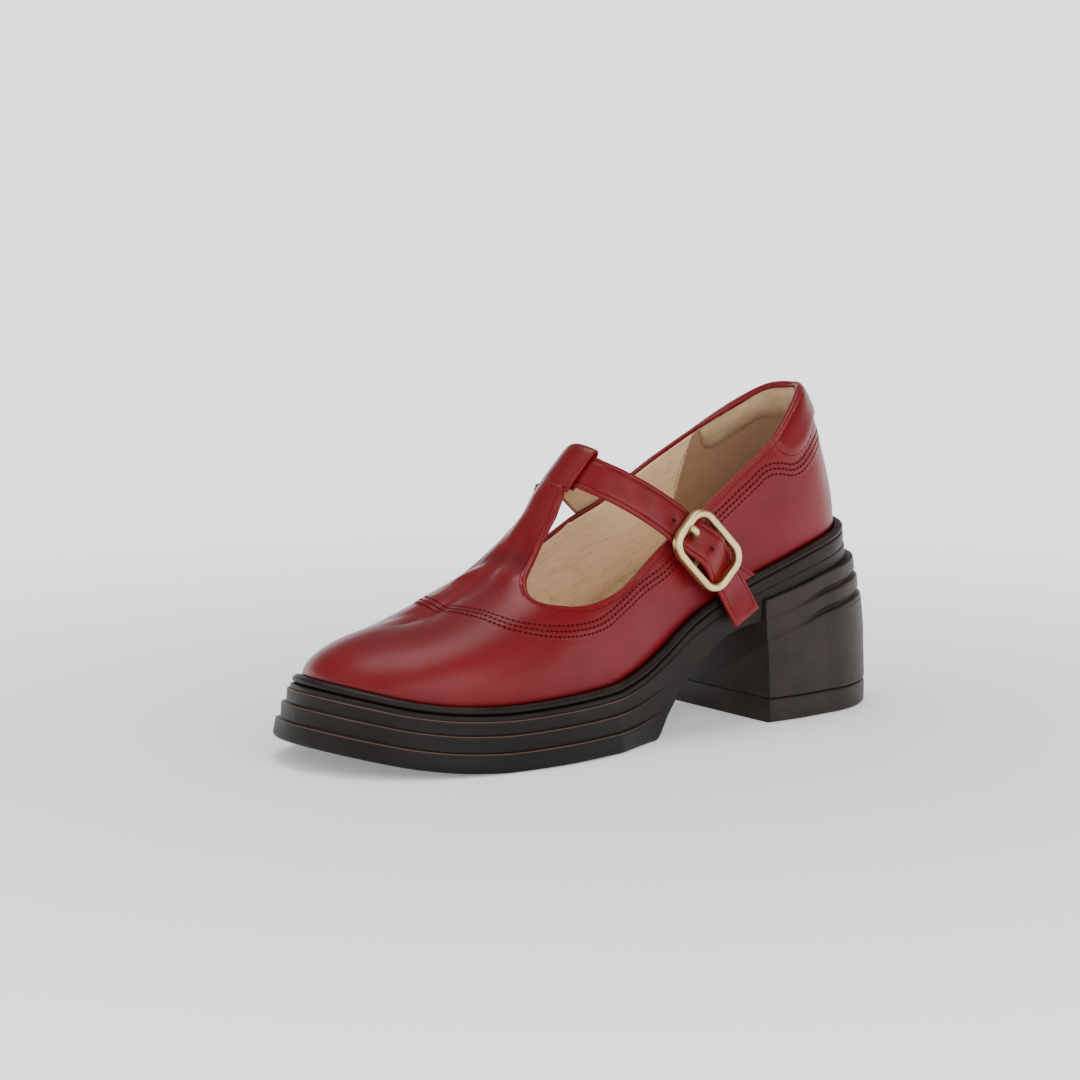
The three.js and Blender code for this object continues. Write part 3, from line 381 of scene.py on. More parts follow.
class Ribbon:
    """Centre line of a strap with its outward, sideways and lengthwise directions."""

    def __init__(self, rows: Rows, steps: int, start: float = 0.0, end: float = 1.0) -> None:
        """Samples the line.

        Args:
            rows: points with their outward directions.
            steps: number of steps along the line.
            start: share at which it begins.
            end: share at which it ends.
        """
        table = np.array(rows, float)
        self.share = np.linspace(start, end, steps + 1)
        self.at = curve(table[:, :3], self.share)
        ahead = curve(table[:, :3], np.clip(self.share + 1e-3, 0, 1))
        self.along = unit(ahead - curve(table[:, :3], np.clip(self.share - 1e-3, 0, 1)))
        place = self.share * (len(table) - 1)
        out = np.stack([np.interp(place, np.arange(len(table)), table[:, k]) for k in (3, 4, 5)], axis=1)
        for _ in range(max(steps // 60, 1) * 2):
            out[1:-1] = (out[:-2] + 2 * out[1:-1] + out[2:]) / 4
        self.out = unit(out - dot(out, self.along)[:, None] * self.along)
        self.side = np.cross(self.along, self.out)
        self.length = reaches(self.at)

    def place(self, across: np.ndarray, height: np.ndarray) -> np.ndarray:
        """Points at sideways and outward distances from every step of the line.

        Args:
            across: sideways distances, one row for each step or one row for all.
            height: outward distances, of the same form.

        Returns:
            Points for each step and distance.
        """
        return (self.at[:, None] + self.side[:, None] * np.atleast_2d(across)[..., None]
                + self.out[:, None] * np.atleast_2d(height)[..., None])

    def index_at(self, reach: float) -> float:
        """Step number at a distance along the line."""
        return float(np.interp(reach, self.length, np.arange(len(self.length))))


class Sheet:
    """Mesh work common to all pieces: a flat grid of operators' making, laid over computed places."""

    @staticmethod
    def grid(columns: int, rows: int) -> tuple[bmesh.types.BMesh, np.ndarray, np.ndarray]:
        """A grid with each vertex's column and row.

        Args:
            columns: faces across.
            rows: faces up.

        Returns:
            The mesh and the two index lists.
        """
        bm = bmesh.new()
        bmesh.ops.create_grid(bm, x_segments=columns, y_segments=rows, size=1.0)
        flat = np.array([v.co[:2] for v in bm.verts])
        column = np.rint((flat[:, 0] + 1) / 2 * columns).astype(int)
        row = np.rint((flat[:, 1] + 1) / 2 * rows).astype(int)
        return bm, column, row

    @classmethod
    def laid(cls, places: np.ndarray, weld: float = 0.004, **marks: np.ndarray) -> bmesh.types.BMesh:
        """A grid laid over places, its touching edges welded.

        Args:
            places: points for each column and row.
            weld: distance within which points become one.
            **marks: values for each column and row, kept on the vertices under their names.

        Returns:
            The mesh.
        """
        bm, column, row = cls.grid(places.shape[0] - 1, places.shape[1] - 1)
        layers = {name: bm.verts.layers.float.new(name) for name in marks}
        for vert, i, j in zip(bm.verts, column, row):
            vert.co = places[i, j]
            for name, layer in layers.items():
                vert[layer] = marks[name][i, j]
        bmesh.ops.remove_doubles(bm, verts=bm.verts, dist=weld)
        bmesh.ops.dissolve_degenerate(bm, dist=weld / 2, edges=bm.edges)
        return bm

    @classmethod
    def swept(cls, places: np.ndarray, closed: bool = False, **marks: np.ndarray) -> bmesh.types.BMesh:
        """A closed solid from sections along a line.

        Args:
            places: points for each step of the line and each corner of the section.
            closed: whether the line leads back to its start.
            **marks: values on the vertices, as for laid.

        Returns:
            The mesh, its ends capped where the line is open.
        """
        def ring(values: np.ndarray) -> np.ndarray:
            """Values with the first section corner repeated, and the first step too on a closed line."""
            values = np.concatenate([values, values[:, :1]], axis=1)
            return np.concatenate([values, values[:1]], axis=0) if closed else values
        bm = cls.laid(ring(places), **{name: ring(values) for name, values in marks.items()})
        if not closed:
            bmesh.ops.holes_fill(bm, edges=[e for e in bm.edges if e.is_boundary], sides=0)
        bmesh.ops.recalc_face_normals(bm, faces=bm.faces)
        return bm


@dataclass
class Piece:
    """One finished piece of the shoe."""

    name: str
    slot: str
    materials: Sequence[bpy.types.Material]
    replaces: Sequence[str] = ()
    sharp: float = 40.0

    def finish(self, bm: bmesh.types.BMesh) -> bpy.types.Object:
        """Makes the object, in metres in the shared frame, and sets it on the shoe.

        Args:
            bm: the mesh in millimetres on the last. It is freed.

        Returns:
            The object.
        """
        bmesh.ops.translate(bm, verts=bm.verts, vec=-Vector(CENTRE))
        bmesh.ops.scale(bm, verts=bm.verts, vec=(MM, MM, MM))
        limit = math.radians(self.sharp)
        for face in bm.faces:
            face.smooth = True
        for edge in bm.edges:
            edge.smooth = len(edge.link_faces) != 2 or edge.calc_face_angle(0) < limit
        mesh = bpy.data.meshes.new(self.name)
        bm.to_mesh(mesh)
        bm.free()
        return self.place(mesh)

    def place(self, mesh: bpy.types.Mesh) -> bpy.types.Object:
        """Links a mesh that is already in the shared frame as this piece."""
        for material in self.materials:
            mesh.materials.append(material)
        piece = bpy.data.objects.new(self.name, mesh)
        bpy.context.scene.collection.objects.link(piece)
        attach(piece, "root")
        if self.replaces:
            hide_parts(*self.replaces)
        LOG.info("%s: %d faces", self.name, len(mesh.polygons))
        return piece


def walled(piece: bpy.types.Object, thickness: float) -> bpy.types.Object:
    """Gives a sheet its thickness inwards.

    Args:
        piece: the sheet's object.
        thickness: its wall in millimetres.

    Returns:
        The same object.
    """
    wall = piece.modifiers.new("wall", "SOLIDIFY")
    wall.thickness = thickness * MM
    wall.offset = -1.0
    wall.use_even_offset = False
    return piece


def tube(name: str, points: np.ndarray, radii: np.ndarray) -> bpy.types.Mesh:
    """Round tube of changing radius along a line, in metres in the shared frame.

    Args:
        name: name of the mesh.
        points: the line in millimetres on the last.
        radii: its radius at each point.

    Returns:
        The mesh.
    """
    data = bpy.data.curves.new(name, "CURVE")
    data.dimensions = "3D"
    data.bevel_depth = MM
    data.bevel_resolution = 3
    data.use_fill_caps = True
    spline = data.splines.new("POLY")
    spline.points.add(len(points) - 1)
    for spot, at, radius in zip(spline.points, (points - CENTRE) * MM, radii):
        spot.co = (*at, 1.0)
        spot.radius = float(radius)
    holder = bpy.data.objects.new(name + "_line", data)
    bpy.context.scene.collection.objects.link(holder)
    mesh = bpy.data.meshes.new_from_object(holder)
    bpy.data.objects.remove(holder)
    mesh.name = name
    mesh.shade_smooth()
    return mesh


# ---- finishes


class Value:
    """A shader socket that takes arithmetic."""

    def __init__(self, finish: "Shader", socket: bpy.types.NodeSocket) -> None:
        """Wraps a socket of a finish's nodes."""
        self.finish, self.socket = finish, socket

    def __add__(self, other: Any) -> "Value":
        """Sum."""
        return self.finish.maths("ADD", self, other)

    def __sub__(self, other: Any) -> "Value":
        """Difference."""
        return self.finish.maths("SUBTRACT", self, other)

    def __mul__(self, other: Any) -> "Value":
        """Product."""
        return self.finish.maths("MULTIPLY", self, other)


class Shader:
    """Builds one material's nodes."""

    def __init__(self, name: str) -> None:
        """Starts a material with a plain surface shader."""
        self.material = bpy.data.materials.new(name)
        self.material.use_nodes = True
        self.tree = self.material.node_tree
        self.surface = self.tree.nodes["Principled BSDF"]
        self.coordinates = self.node("ShaderNodeTexCoord", output="Object")

    def node(self, kind: str, settings: dict | None = None, values: dict | None = None,
             output: Any = 0) -> Value:
        """Adds a node.

        Args:
            kind: the node's type.
            settings: its own settings, set first.
            values: numbers or links for its sockets, by name or number.
            output: the socket that is returned.

        Returns:
            The wrapped output.
        """
        made = self.tree.nodes.new(kind)
        for key, setting in (settings or {}).items():
            setattr(made, key, setting)
        for key, value in (values or {}).items():
            self.feed(made.inputs[key], value)
        return Value(self, made.outputs[output])

    def feed(self, socket: bpy.types.NodeSocket, value: Any) -> None:
        """Links a value to a socket, or sets it."""
        if isinstance(value, Value):
            self.tree.links.new(value.socket, socket)
        elif socket.type == "RGBA":
            socket.default_value = (*value, 1.0)
        else:
            socket.default_value = value

    def maths(self, operation: str, a: Any, b: Any) -> Value:
        """One sum of two values."""
        return self.node("ShaderNodeMath", {"operation": operation}, {0: a, 1: b})

    def colour(self, factor: Any, a: Any, b: Any) -> Value:
        """Two colours mixed by a factor."""
        return self.node("ShaderNodeMix", {"data_type": "RGBA"}, {0: factor, 6: a, 7: b}, output=2)

    def stretched(self, scale: Sequence[float], turn: Sequence[float] = (0, 0, 0)) -> Value:
        """The piece's own coordinates, turned and then stretched."""
        values = {"Vector": self.coordinates, "Scale": [1 / part for part in scale], "Rotation": turn}
        return self.node("ShaderNodeMapping", {"vector_type": "TEXTURE"}, values)

    def noise(self, scale: float, detail: float = 3.0, rough: float = 0.55,
              vector: Value | None = None) -> Value:
        """Soft noise, 0 to 1. The scale is features a metre."""
        values = {"Vector": vector or self.coordinates, "Scale": scale, "Detail": detail, "Roughness": rough}
        return self.node("ShaderNodeTexNoise", {}, values, output="Fac")

    def cells(self, scale: float, feature: str = "F1") -> Value:
        """Distance within cells, for grain."""
        values = {"Vector": self.coordinates, "Scale": scale}
        return self.node("ShaderNodeTexVoronoi", {"feature": feature}, values, output="Distance")

    def band(self, value: Value, low: float, high: float, to: Pair = (0.0, 1.0)) -> Value:
        """A value's range carried to another, held at its ends."""
        values = {"Value": value, "From Min": low, "From Max": high, "To Min": to[0], "To Max": to[1]}
        return self.node("ShaderNodeMapRange", {"clamp": True}, values)

    def mark(self, name: str) -> Value:
        """A value kept on the piece's vertices."""
        return self.node("ShaderNodeAttribute", {"attribute_name": name}, {}, output="Fac")

    def bump(self, height: Value, distance: float) -> Value:
        """Surface relief, its full height given in millimetres."""
        return self.node("ShaderNodeBump", {}, {"Height": height, "Distance": distance * MM, "Strength": 1.0})

    def dress(self, **sockets: Any) -> bpy.types.Material:
        """Sets the surface's sockets by name, with _ for a space.

        Args:
            **sockets: numbers, colours or links.

        Returns:
            The finished material.
        """
        for name, value in sockets.items():
            self.feed(self.surface.inputs[name.replace("_", " ")], value)
        return self.material


@dataclass(frozen=True)
class Leather:
    """Smooth dyed leather with a fine grain, painted shade in its creases, and a lighter tone on its fold
    crests and edges that is partly from rubbing and partly painted highlight.
    """

    name: str
    body: Triple = (0.175, 0.003, 0.0072)
    deep: Triple = (0.075, 0.0012, 0.002)
    # lighter tone for edges marked by rubbing and for painted highlight on fold crests
    worn_and_lit: Triple = (0.30, 0.018, 0.016)
    backing: Triple = (0.62, 0.42, 0.24)
    rough: Pair = (0.30, 0.48)
    grain: float = 0.07
    mottling: float = 0.45
    hollowing: float = 0.7
    wear_and_sheen_strength: float = 0.75

    def make(self) -> bpy.types.Material:
        """Builds the material."""
        s = Shader(self.name)
        mottle = s.noise(38, 4, 0.6)
        patch = s.band(s.noise(13, 2), 0.35, 0.7)
        # lighter at the edges, partly from rubbing, and painted highlight on the fold crests
        wear = s.band(s.mark("wear") + (mottle - 0.5) * 0.5, 0.25, 1.0)
        # painted shade: darker towards the deep tone in crease troughs and dents
        hollow = s.band(s.mark("hollow"), 0.1, 1.0)
        tone = s.colour(s.band(mottle, 0.3, 0.75) * self.mottling, self.body, self.deep)
        tone = s.colour(hollow * self.hollowing, tone, self.deep)
        tone = s.colour(wear * self.wear_and_sheen_strength, tone, self.worn_and_lit)
        tone = s.colour(s.mark("under"), tone, self.backing)
        pores = s.cells(1500)
        creases = s.cells(620, "SMOOTH_F1")
        fine = s.noise(2600, 2)
        height = pores * 0.5 + creases * 0.35 + fine * 0.35
        rough = s.band(mottle * 0.6 + patch * 0.4, 0.25, 0.75, self.rough)
        relief = s.bump(height, self.grain)
        return s.dress(Base_Color=tone, Roughness=rough, Normal=relief, Specular_IOR_Level=0.24,
                       Coat_Weight=0.07, Coat_Roughness=0.22)


@dataclass(frozen=True)
class Lining:
    """Undyed lining leather with long fibres, with painted shade behind its back seam where it is deep in the
    shoe.
    """

    name: str
    pale: Triple = (0.93, 0.71, 0.46)
    dark: Triple = (0.80, 0.53, 0.30)
    streak: Triple = (0.28, 0.15, 0.07)
    rear_shade: Triple = (0.27, 0.15, 0.085)
    turn: float = 0.42

    def make(self) -> bpy.types.Material:
        """Builds the material."""
        s = Shader(self.name)
        lie = s.stretched((1.0, 0.16, 1.9), (self.turn, 0, 0))
        fibres = s.noise(1250, 4, 0.7, lie)
        broad = s.noise(210, 3, 0.6, lie)
        marks = s.band(s.noise(900, 2, 0.5, lie), 0.58, 0.70)
        tone = s.colour(s.band(broad * 0.5 + fibres * 0.5, 0.36, 0.64), self.dark, self.pale)
        tone = s.colour(s.band(s.noise(22, 2), 0.35, 0.7) * 0.25, tone, self.dark)
        tone = s.colour(marks * 0.4, tone, self.streak)
        # painted shade over the lining behind its back seam
        tone = s.colour(s.mark("rear_shade") * 0.85, tone, self.rear_shade)
        relief = s.bump(fibres + s.noise(2400, 2) * 0.4, 0.05)
        return s.dress(Base_Color=tone, Roughness=s.band(fibres, 0.3, 0.7, (0.62, 0.78)), Normal=relief,
                       Specular_IOR_Level=0.35)


@dataclass(frozen=True)
class Suede:
    """Napped leather of the collar pad."""

    name: str
    pale: Triple = (0.50, 0.345, 0.195)
    dark: Triple = (0.33, 0.215, 0.115)

    def make(self) -> bpy.types.Material:
        """Builds the material."""
        s = Shader(self.name)
        nap = s.noise(1300, 5, 0.75)
        cloud = s.noise(90, 3, 0.6)
        tone = s.colour(s.band(nap * 0.5 + cloud * 0.5, 0.36, 0.64), self.dark, self.pale)
        relief = s.bump(nap + s.noise(3200, 2) * 0.6, 0.09)
        return s.dress(Base_Color=tone, Roughness=0.95, Normal=relief, Sheen_Weight=0.35, Sheen_Roughness=0.5,
                       Specular_IOR_Level=0.2)


@dataclass(frozen=True)
class Rubber:
    """Moulded dark sole with reddish edges, partly from rubbing and partly painted highlight, and painted
    shade darkening it towards the floor.
    """

    name: str
    body: Triple = (0.0070, 0.0044, 0.0035)
    dust: Triple = (0.020, 0.0134, 0.0108)
    # reddish tone for ledge edges, partly from rubbing and partly painted highlight
    edge: Triple = (0.15, 0.08, 0.062)
    shade: Triple = (0.002, 0.0014, 0.0012)
    # painted shade towards the floor: its strength, and the height in metres over which it fades
    low: float = 0.85
    floor_shade_height: float = 0.034

    def make(self) -> bpy.types.Material:
        """Builds the material."""
        s = Shader(self.name)
        cloud = s.noise(45, 4, 0.65)
        speck = s.noise(1500, 3, 0.6)
        # reddish ledge edges: partly from rubbing, partly painted highlight
        rubbed_and_lit = s.band(s.mark("wear") + (cloud - 0.5) * 0.4, 0.35, 1.0)
        tone = s.colour(s.band(cloud * 0.7 + speck * 0.3, 0.35, 0.68), self.body, self.dust)
        height = s.node("ShaderNodeSeparateXYZ", {}, {"Vector": s.coordinates}, output="Z")
        # painted shade: darker towards the floor
        tone = s.colour(s.band(height, self.floor_shade_height, 0.0, (0.0, self.low)), tone, self.shade)
        tone = s.colour(rubbed_and_lit * 0.8, tone, self.edge)
        scuffs = s.noise(260, 3, 0.6, s.stretched((1, 0.25, 1.6)))
        rough = s.band(cloud * 0.6 + scuffs * 0.4, 0.3, 0.7, (0.40, 0.58))
        relief = s.bump(speck * 0.6 + scuffs * 0.4, 0.045)
        return s.dress(Base_Color=tone, Roughness=rough, Normal=relief, Specular_IOR_Level=0.2)


@dataclass(frozen=True)
class SatinMetal:
    """Pale gold plating with a satin brush."""

    name: str
    bright: Triple = (0.80, 0.65, 0.33)
    dull: Triple = (0.58, 0.46, 0.21)

    def make(self) -> bpy.types.Material:
        """Builds the material."""
        s = Shader(self.name)
        brush = s.noise(900, 3, 0.6, s.stretched((1, 0.2, 0.2)))
        cloud = s.noise(120, 3)
        tone = s.colour(s.band(cloud * 0.6 + brush * 0.4, 0.35, 0.65), self.dull, self.bright)
        relief = s.bump(brush, 0.012)
        rough = s.band(brush, 0.3, 0.7, (0.30, 0.42))
        return s.dress(Base_Color=tone, Metallic=1.0, Roughness=rough, Normal=relief)


@dataclass(frozen=True)
class Thread:
    """Sewing thread, or with a dark tone the painted shade of the needle holes beside it."""

    name: str
    light: Triple = (0.23, 0.007, 0.009)
    dark: Triple = (0.12, 0.003, 0.005)

    def make(self) -> bpy.types.Material:
        """Builds the material."""
        s = Shader(self.name)
        ply = s.noise(2600, 2, 0.5)
        tone = s.colour(s.band(ply, 0.35, 0.65), self.dark, self.light)
        return s.dress(Base_Color=tone, Roughness=0.7, Normal=s.bump(ply, 0.05), Specular_IOR_Level=0.08)


class Finish(Enum):
    """The finishes of the shoe."""

    LEATHER = Leather("red_leather")
    LINING = Lining("tan_lining")
    INSOLE = Lining("tan_insole", (0.66, 0.49, 0.27), (0.45, 0.30, 0.15), (0.36, 0.22, 0.11), turn=0.0)
    SUEDE = Suede("collar_suede")
    RUBBER = Rubber("dark_rubber")
    # the heel's painted shade towards the floor is weaker and reaches higher
    HEEL_RUBBER = Rubber("heel_rubber", (0.017, 0.0112, 0.0092), (0.040, 0.028, 0.0235), low=0.3,
                         floor_shade_height=0.06)
    METAL = SatinMetal("pale_gold")
    THREAD = Thread("red_thread")
    # dark beads of painted shade that stand for needle holes
    NEEDLE_HOLE_SHADE = Thread("needle_hole_shade", (0.055, 0.0015, 0.0025), (0.035, 0.0008, 0.0015))
    TAN_THREAD = Thread("tan_thread", (0.42, 0.27, 0.14), (0.20, 0.11, 0.05))
    TAN_HOLE_SHADE = Thread("tan_hole_shade", (0.13, 0.07, 0.03), (0.06, 0.03, 0.012))


class Finishes:
    """Makes each finish once."""

    def __init__(self) -> None:
        """Starts with none made."""
        self.made: dict[Finish, bpy.types.Material] = {}

    def __getitem__(self, finish: Finish) -> bpy.types.Material:
        """The material of a finish."""
        if finish not in self.made:
            self.made[finish] = finish.value.make()
        return self.made[finish]


# ---- sewing


@dataclass
class Line:
    """Points on a surface with its outward directions."""

    points: np.ndarray
    normals: np.ndarray

    def along(self) -> np.ndarray:
        """Directions along the line."""
        return unit(np.gradient(self.points, axis=0))

    def across(self) -> np.ndarray:
        """Directions in the surface, at right angles to the line."""
        return unit(np.cross(self.normals, self.along()))


class Skin:
    """A surface that lines are laid on."""

    def __init__(self, bm: bmesh.types.BMesh) -> None:
        """Takes the surface from a mesh in millimetres."""
        self.tree = BVHTree.FromBMesh(bm)

    def settle(self, points: np.ndarray) -> Line:
        """Points moved to the nearest place on the surface."""
        spots, normals = [], []
        for point in points:
            spot, normal, _, _ = self.tree.find_nearest(Vector(point))
            spots.append(spot)
            normals.append(normal)
        normals = np.array(normals)
        for _ in range(2):
            normals[1:-1] = normals[:-2] + 2 * normals[1:-1] + normals[2:]
            normals = unit(normals)
        return Line(np.array(spots), normals)

    def drawn(self, rows: Rows, step: float = 1.0, aside: float = 0.0) -> Line:
        """A smooth line over the surface through given points.

        Args:
            rows: the points.
            step: distance between the line's points.
            aside: how far the line is moved sideways on the surface.

        Returns:
            The line.
        """
        line = self.settle(through(rows, step))
        return self.aside(line, aside) if aside else line

    def aside(self, line: Line, distance: float) -> Line:
        """A line moved sideways on the surface."""
        moved = line.points + line.across() * distance
        moved[1:-1] = (moved[:-2] + 2 * moved[1:-1] + moved[2:]) / 4
        return self.settle(evenly(moved, float(np.mean(np.linalg.norm(np.diff(moved, axis=0), axis=1)))))


@dataclass
class Sewing:
    """Rows of stitches gathered in one mesh, and their needle holes, dark beads of painted shade, in another.
    """

    pitch: float = 2.0
    length: float = 1.3
    width: float = 0.5
    height: float = 0.36
    hole: float = 0.38
    thread: bmesh.types.BMesh = field(default_factory=bmesh.new)
    holes: bmesh.types.BMesh = field(default_factory=bmesh.new)

    def __post_init__(self) -> None:
        """Makes the one bead that all others are copies of."""
        bm = bmesh.new()
        bmesh.ops.create_uvsphere(bm, u_segments=6, v_segments=4, radius=1.0)
        self.pattern = bpy.data.meshes.new("bead")
        bm.to_mesh(self.pattern)
        bm.free()

    def sew(self, line: Line, sink: float = 0.04) -> None:
        """Adds a row of stitches.

        Args:
            line: where it runs.
            sink: how deep a stitch's middle lies under the surface.
        """
        reach = reaches(line.points)
        count = max(int(reach[-1] / self.pitch), 1)
        goal = (np.arange(2 * count) + 0.5) * reach[-1] / (2 * count)
        spots, normals, ways = (np.stack([np.interp(goal, reach, part[:, k]) for k in range(3)], axis=1)
                                for part in (line.points, line.normals, line.along()))
        for k, (spot, normal, way) in enumerate(zip(spots, unit(normals), unit(ways))):
            if k % 2:
                # dark bead of painted shade for the needle hole
                self.bead(self.holes, spot, normal, way, (self.hole, self.hole * 0.85, 0.14))
            else:
                size = self.length / 2, self.width / 2, self.height / 2
                self.bead(self.thread, spot - normal * sink, normal, way, size)

    def bead(self, bm: bmesh.types.BMesh, spot: np.ndarray, normal: np.ndarray, way: np.ndarray,
             size: Sequence[float]) -> None:
        """Adds one small rounded bead lying on the surface."""
        side = unit(np.cross(normal, way))
        turn = Matrix(np.stack([unit(np.cross(side, normal)), side, normal], axis=1).tolist()).to_4x4()
        place = Matrix.Translation(Vector(spot)) @ turn @ Matrix.Diagonal((*size, 1.0))
        copy = self.pattern.copy()
        copy.transform(place)
        bm.from_mesh(copy)
        bpy.data.meshes.remove(copy)

    def finish(self, name: str, slot: str, finishes: Finishes, thread: Finish, hole: Finish) -> None:
        """Makes the two pieces."""
        Piece(name + "_stitches", slot, [finishes[thread]], sharp=180).finish(self.thread)
        Piece(name + "_needle_hole_shades", slot, [finishes[hole]], sharp=180).finish(self.holes)
        bpy.data.meshes.remove(self.pattern)


# ---- the upper


@dataclass(frozen=True)
class Crease:
    """A soft trough or ridge in the leather."""

    points: Rows
    height: float
    width: float
    step: float = 1.5
    fade: float = 2.2

    def lift(self, places: np.ndarray) -> np.ndarray:
        """Height that it adds at places on the last, fading towards its ends."""
        line = through(self.points, self.step)
        gap, spot = nearest_on(places, line)
        reach = np.linalg.norm(spot - line[0], axis=1), np.linalg.norm(spot - line[-1], axis=1)
        fade = smooth(np.minimum(*reach) / (self.fade * self.width))
        return self.height * np.exp(-((gap / self.width) ** 2)) * fade


@dataclass
class Upper:
    """Leather upper with its padded collar, T-bar, lining and seams."""

    last: Last
    finishes: Finishes
    columns: int = 420
    rows: int = 76
    leather: float = 1.15
    lining_depth: float = 1.25
    lining: float = 0.7
    wall: float = 2.0
    ease: float = 0.3
    pad_rise: float = 1.8
    pad_blend: float = 3.4
    pad_start: Pair = (70.0, 20.0)
    pad_depth: Table = field(default_factory=lambda: Table("y depth", [
        (72, 0), (76, 5.5), (80, 12.5), (86, 16.5), (90, 17), (96, 16), (102, 13.5), (130, 12.5)]))
    bar_from: float = 9.4
    bar_ramp: float = 26.0
    bar_height: float = 2.9
    bar_zone: Triple = (22.0, 6.0, 68.0)
    cap_zone: Triple = (20.0, 8.0, 80.0)
    neck_above: float = 50.0
    neck_fade: float = 9.0
    cap_slack: float = 0.4
    neck: Sequence[float] = (-3.0, -20.0, 2.9, 11.0, 9.5)
    row_gap: float = 2.1
    row_dent: float = 0.16
    step_rise: float = 0.42
    corner: float = 7.0
    toe_until: float = -70.0
    toe_depth: float = 30.0
    bar_above: float = 70.0
    far: float = 99.0
    edge_passes: int = 24
    rear_shade_from: float = 63.4
    rear_shade_lean: float = 0.27
    rear_shade_height: float = 82.0
    rim_wear_and_sheen: float = 1.6
    rim_stitches: float = 1.6
    lining_seam: Sequence[Pair] = (
        (0.213, 0.41), (0.223, 0.36), (0.236, 0.33), (0.245, 0.29), (0.252, 0.25), (0.253, 0.2),
        (0.252, 0.12), (0.25, 0.06))
    middle_smoothing: Sequence[tuple[float, int]] = ((0.82, 6), (0.9, 14), (0.96, 14))
    vamp_row: Rows = (
        (-28.5, 5, 62), (-30.5, -6, 57.5), (-32, -18, 51.5), (-33.6, -31, 47.5), (-32.6, -43, 48.6),
        (-27.5, -53, 51.5), (-19, -59.5, 52.6), (-9, -62.2, 52.8), (3, -63.2, 52.8), (12, -62.9, 52.9),
        (20.5, -60.6, 52.4), (30.9, -55.3, 49.6), (36.3, -45.3, 47), (37.6, -32.3, 45.5), (35.7, -16.4, 46.5),
        (33.3, -4.1, 51.9), (31.5, 5.5, 57), (30, 16.3, 61.5), (29.3, 21.6, 64.7), (28.4, 30, 70.4),
        (27.7, 39.2, 76.2), (27.3, 45.3, 80), (26.8, 54.3, 85.7), (26.5, 63, 91.3), (26.3, 69.1, 95.2),
        (26.3, 74.9, 95.9), (26.3, 82.3, 94.8), (25.4, 87.5, 96), (23.5, 93.6, 99.9), (19.7, 99.1, 103.4),
        (12, 106.6, 106.2), (0, 111.4, 107.2), (-12, 106.6, 106.2), (-19.7, 99.1, 103.4), (-23.5, 93.6, 99.9),
        (-25.4, 87.5, 96.4), (-26, 82.3, 95.4), (-26, 75, 96.8), (-25.8, 68, 97.3), (-25.6, 58, 92.8),
        (-25.6, 45, 86), (-25.8, 32, 77.6), (-26.6, 20, 71), (-27.6, 11, 66.4), (-28.5, 5, 62.4))
    pad_seam: Rows = (
        (24.4, 74.4, 106.6), (25.2, 75, 104.1), (25.9, 76.6, 102.2), (26.2, 80.1, 100.8), (25.8, 84, 100.6),
        (25, 88.5, 101.9), (22.1, 94, 104.9), (18.6, 98.8, 108.6), (10, 107, 111.3), (0, 111, 112),
        (-10, 107, 111.3), (-18.6, 98.8, 108.6), (-22.1, 94, 104.9), (-25, 88.5, 101.9), (-25.4, 84, 100.8),
        (-25.4, 80.1, 101.4), (-25, 76.6, 103.2), (-24.6, 75.2, 105.4), (-24.2, 74.6, 108))
    creases: Sequence[Crease] = (
        Crease(((-24, -42, 56), (-13, -37.5, 64.6), (-4, -34.8, 67.6), (5, -34.4, 67.8), (13, -35.4, 66.8),
                (19, -37.4, 63.6)), -0.8, 4.4),
        Crease(((-20, -47, 56), (-9, -42, 62.6), (0, -40.2, 64.4), (9, -40.2, 64), (15, -41.6, 62.6),
                (21, -44.6, 59.4)), 0.75, 3.8),
        Crease(((-8, -47.5, 58), (3, -46, 59.2), (11, -46.6, 58.2), (18, -48.8, 56)), -0.3, 2.2),
        Crease(((2, -50.4, 56.4), (13, -51, 55.4), (22, -52.4, 53.4)), 0.25, 2.4),
        Crease(((3, -17, 86), (3.6, -23, 79), (6.4, -28.6, 73), (11.6, -33, 68.6)), -0.3, 1.8),
        Crease(((-9.6, -17, 82), (-9, -24, 76), (-8, -31, 70)), -0.3, 2.4),
        Crease(((26, 60, 80), (27.6, 70, 83.5), (27.4, 80, 84.2), (26.6, 88, 82.5)), -0.28, 3.2),
        Crease(((28.2, 50, 66), (28, 58, 68.4), (28, 66, 69.4)), -0.3, 2.4),
        Crease(((29.6, 24, 50), (31, 12, 45.5), (34, 0, 40)), -0.28, 3.4),
        Crease(((38.5, -20, 38), (40.2, -30, 36.5), (41, -42, 36.2)), -0.22, 3.6),
        Crease(((-25.5, 62, 78), (-26, 74, 82), (-26, 84, 82)), -0.3, 3.0),
        Crease(((-25.4, 34, 62), (-27, 22, 56.5), (-29.5, 10, 50)), -0.35, 3.2),
        Crease(((-35, -28, 38), (-36.4, -40, 36), (-35.6, -52, 36.5)), -0.25, 3.4))

    def __post_init__(self) -> None:
        """Prepares the lines that shape the upper."""
        inner = curve(np.array(THROAT_INNER, float), np.linspace(0, 1, 60))
        outer = curve(np.array(THROAT_OUTER, float), np.linspace(0, 1, 60))
        self.throat = np.vstack([inner, outer, [(60, -160), (-60, -160)]])
        self.strap = Ribbon(STRAP_LINE, 240)
        self.row_line = through(self.vamp_row, 2.0)

    # where the leather ends

    def below_topline(self, places: np.ndarray) -> np.ndarray:
        """How far places lie below the quarters' top edge."""
        x, y, z = places.T
        top = np.where(x > 0, TOPLINE_OUTER.at("z", y), TOPLINE_INNER.at("z", y))
        return np.where(y < self.toe_until, self.toe_depth, top - z)

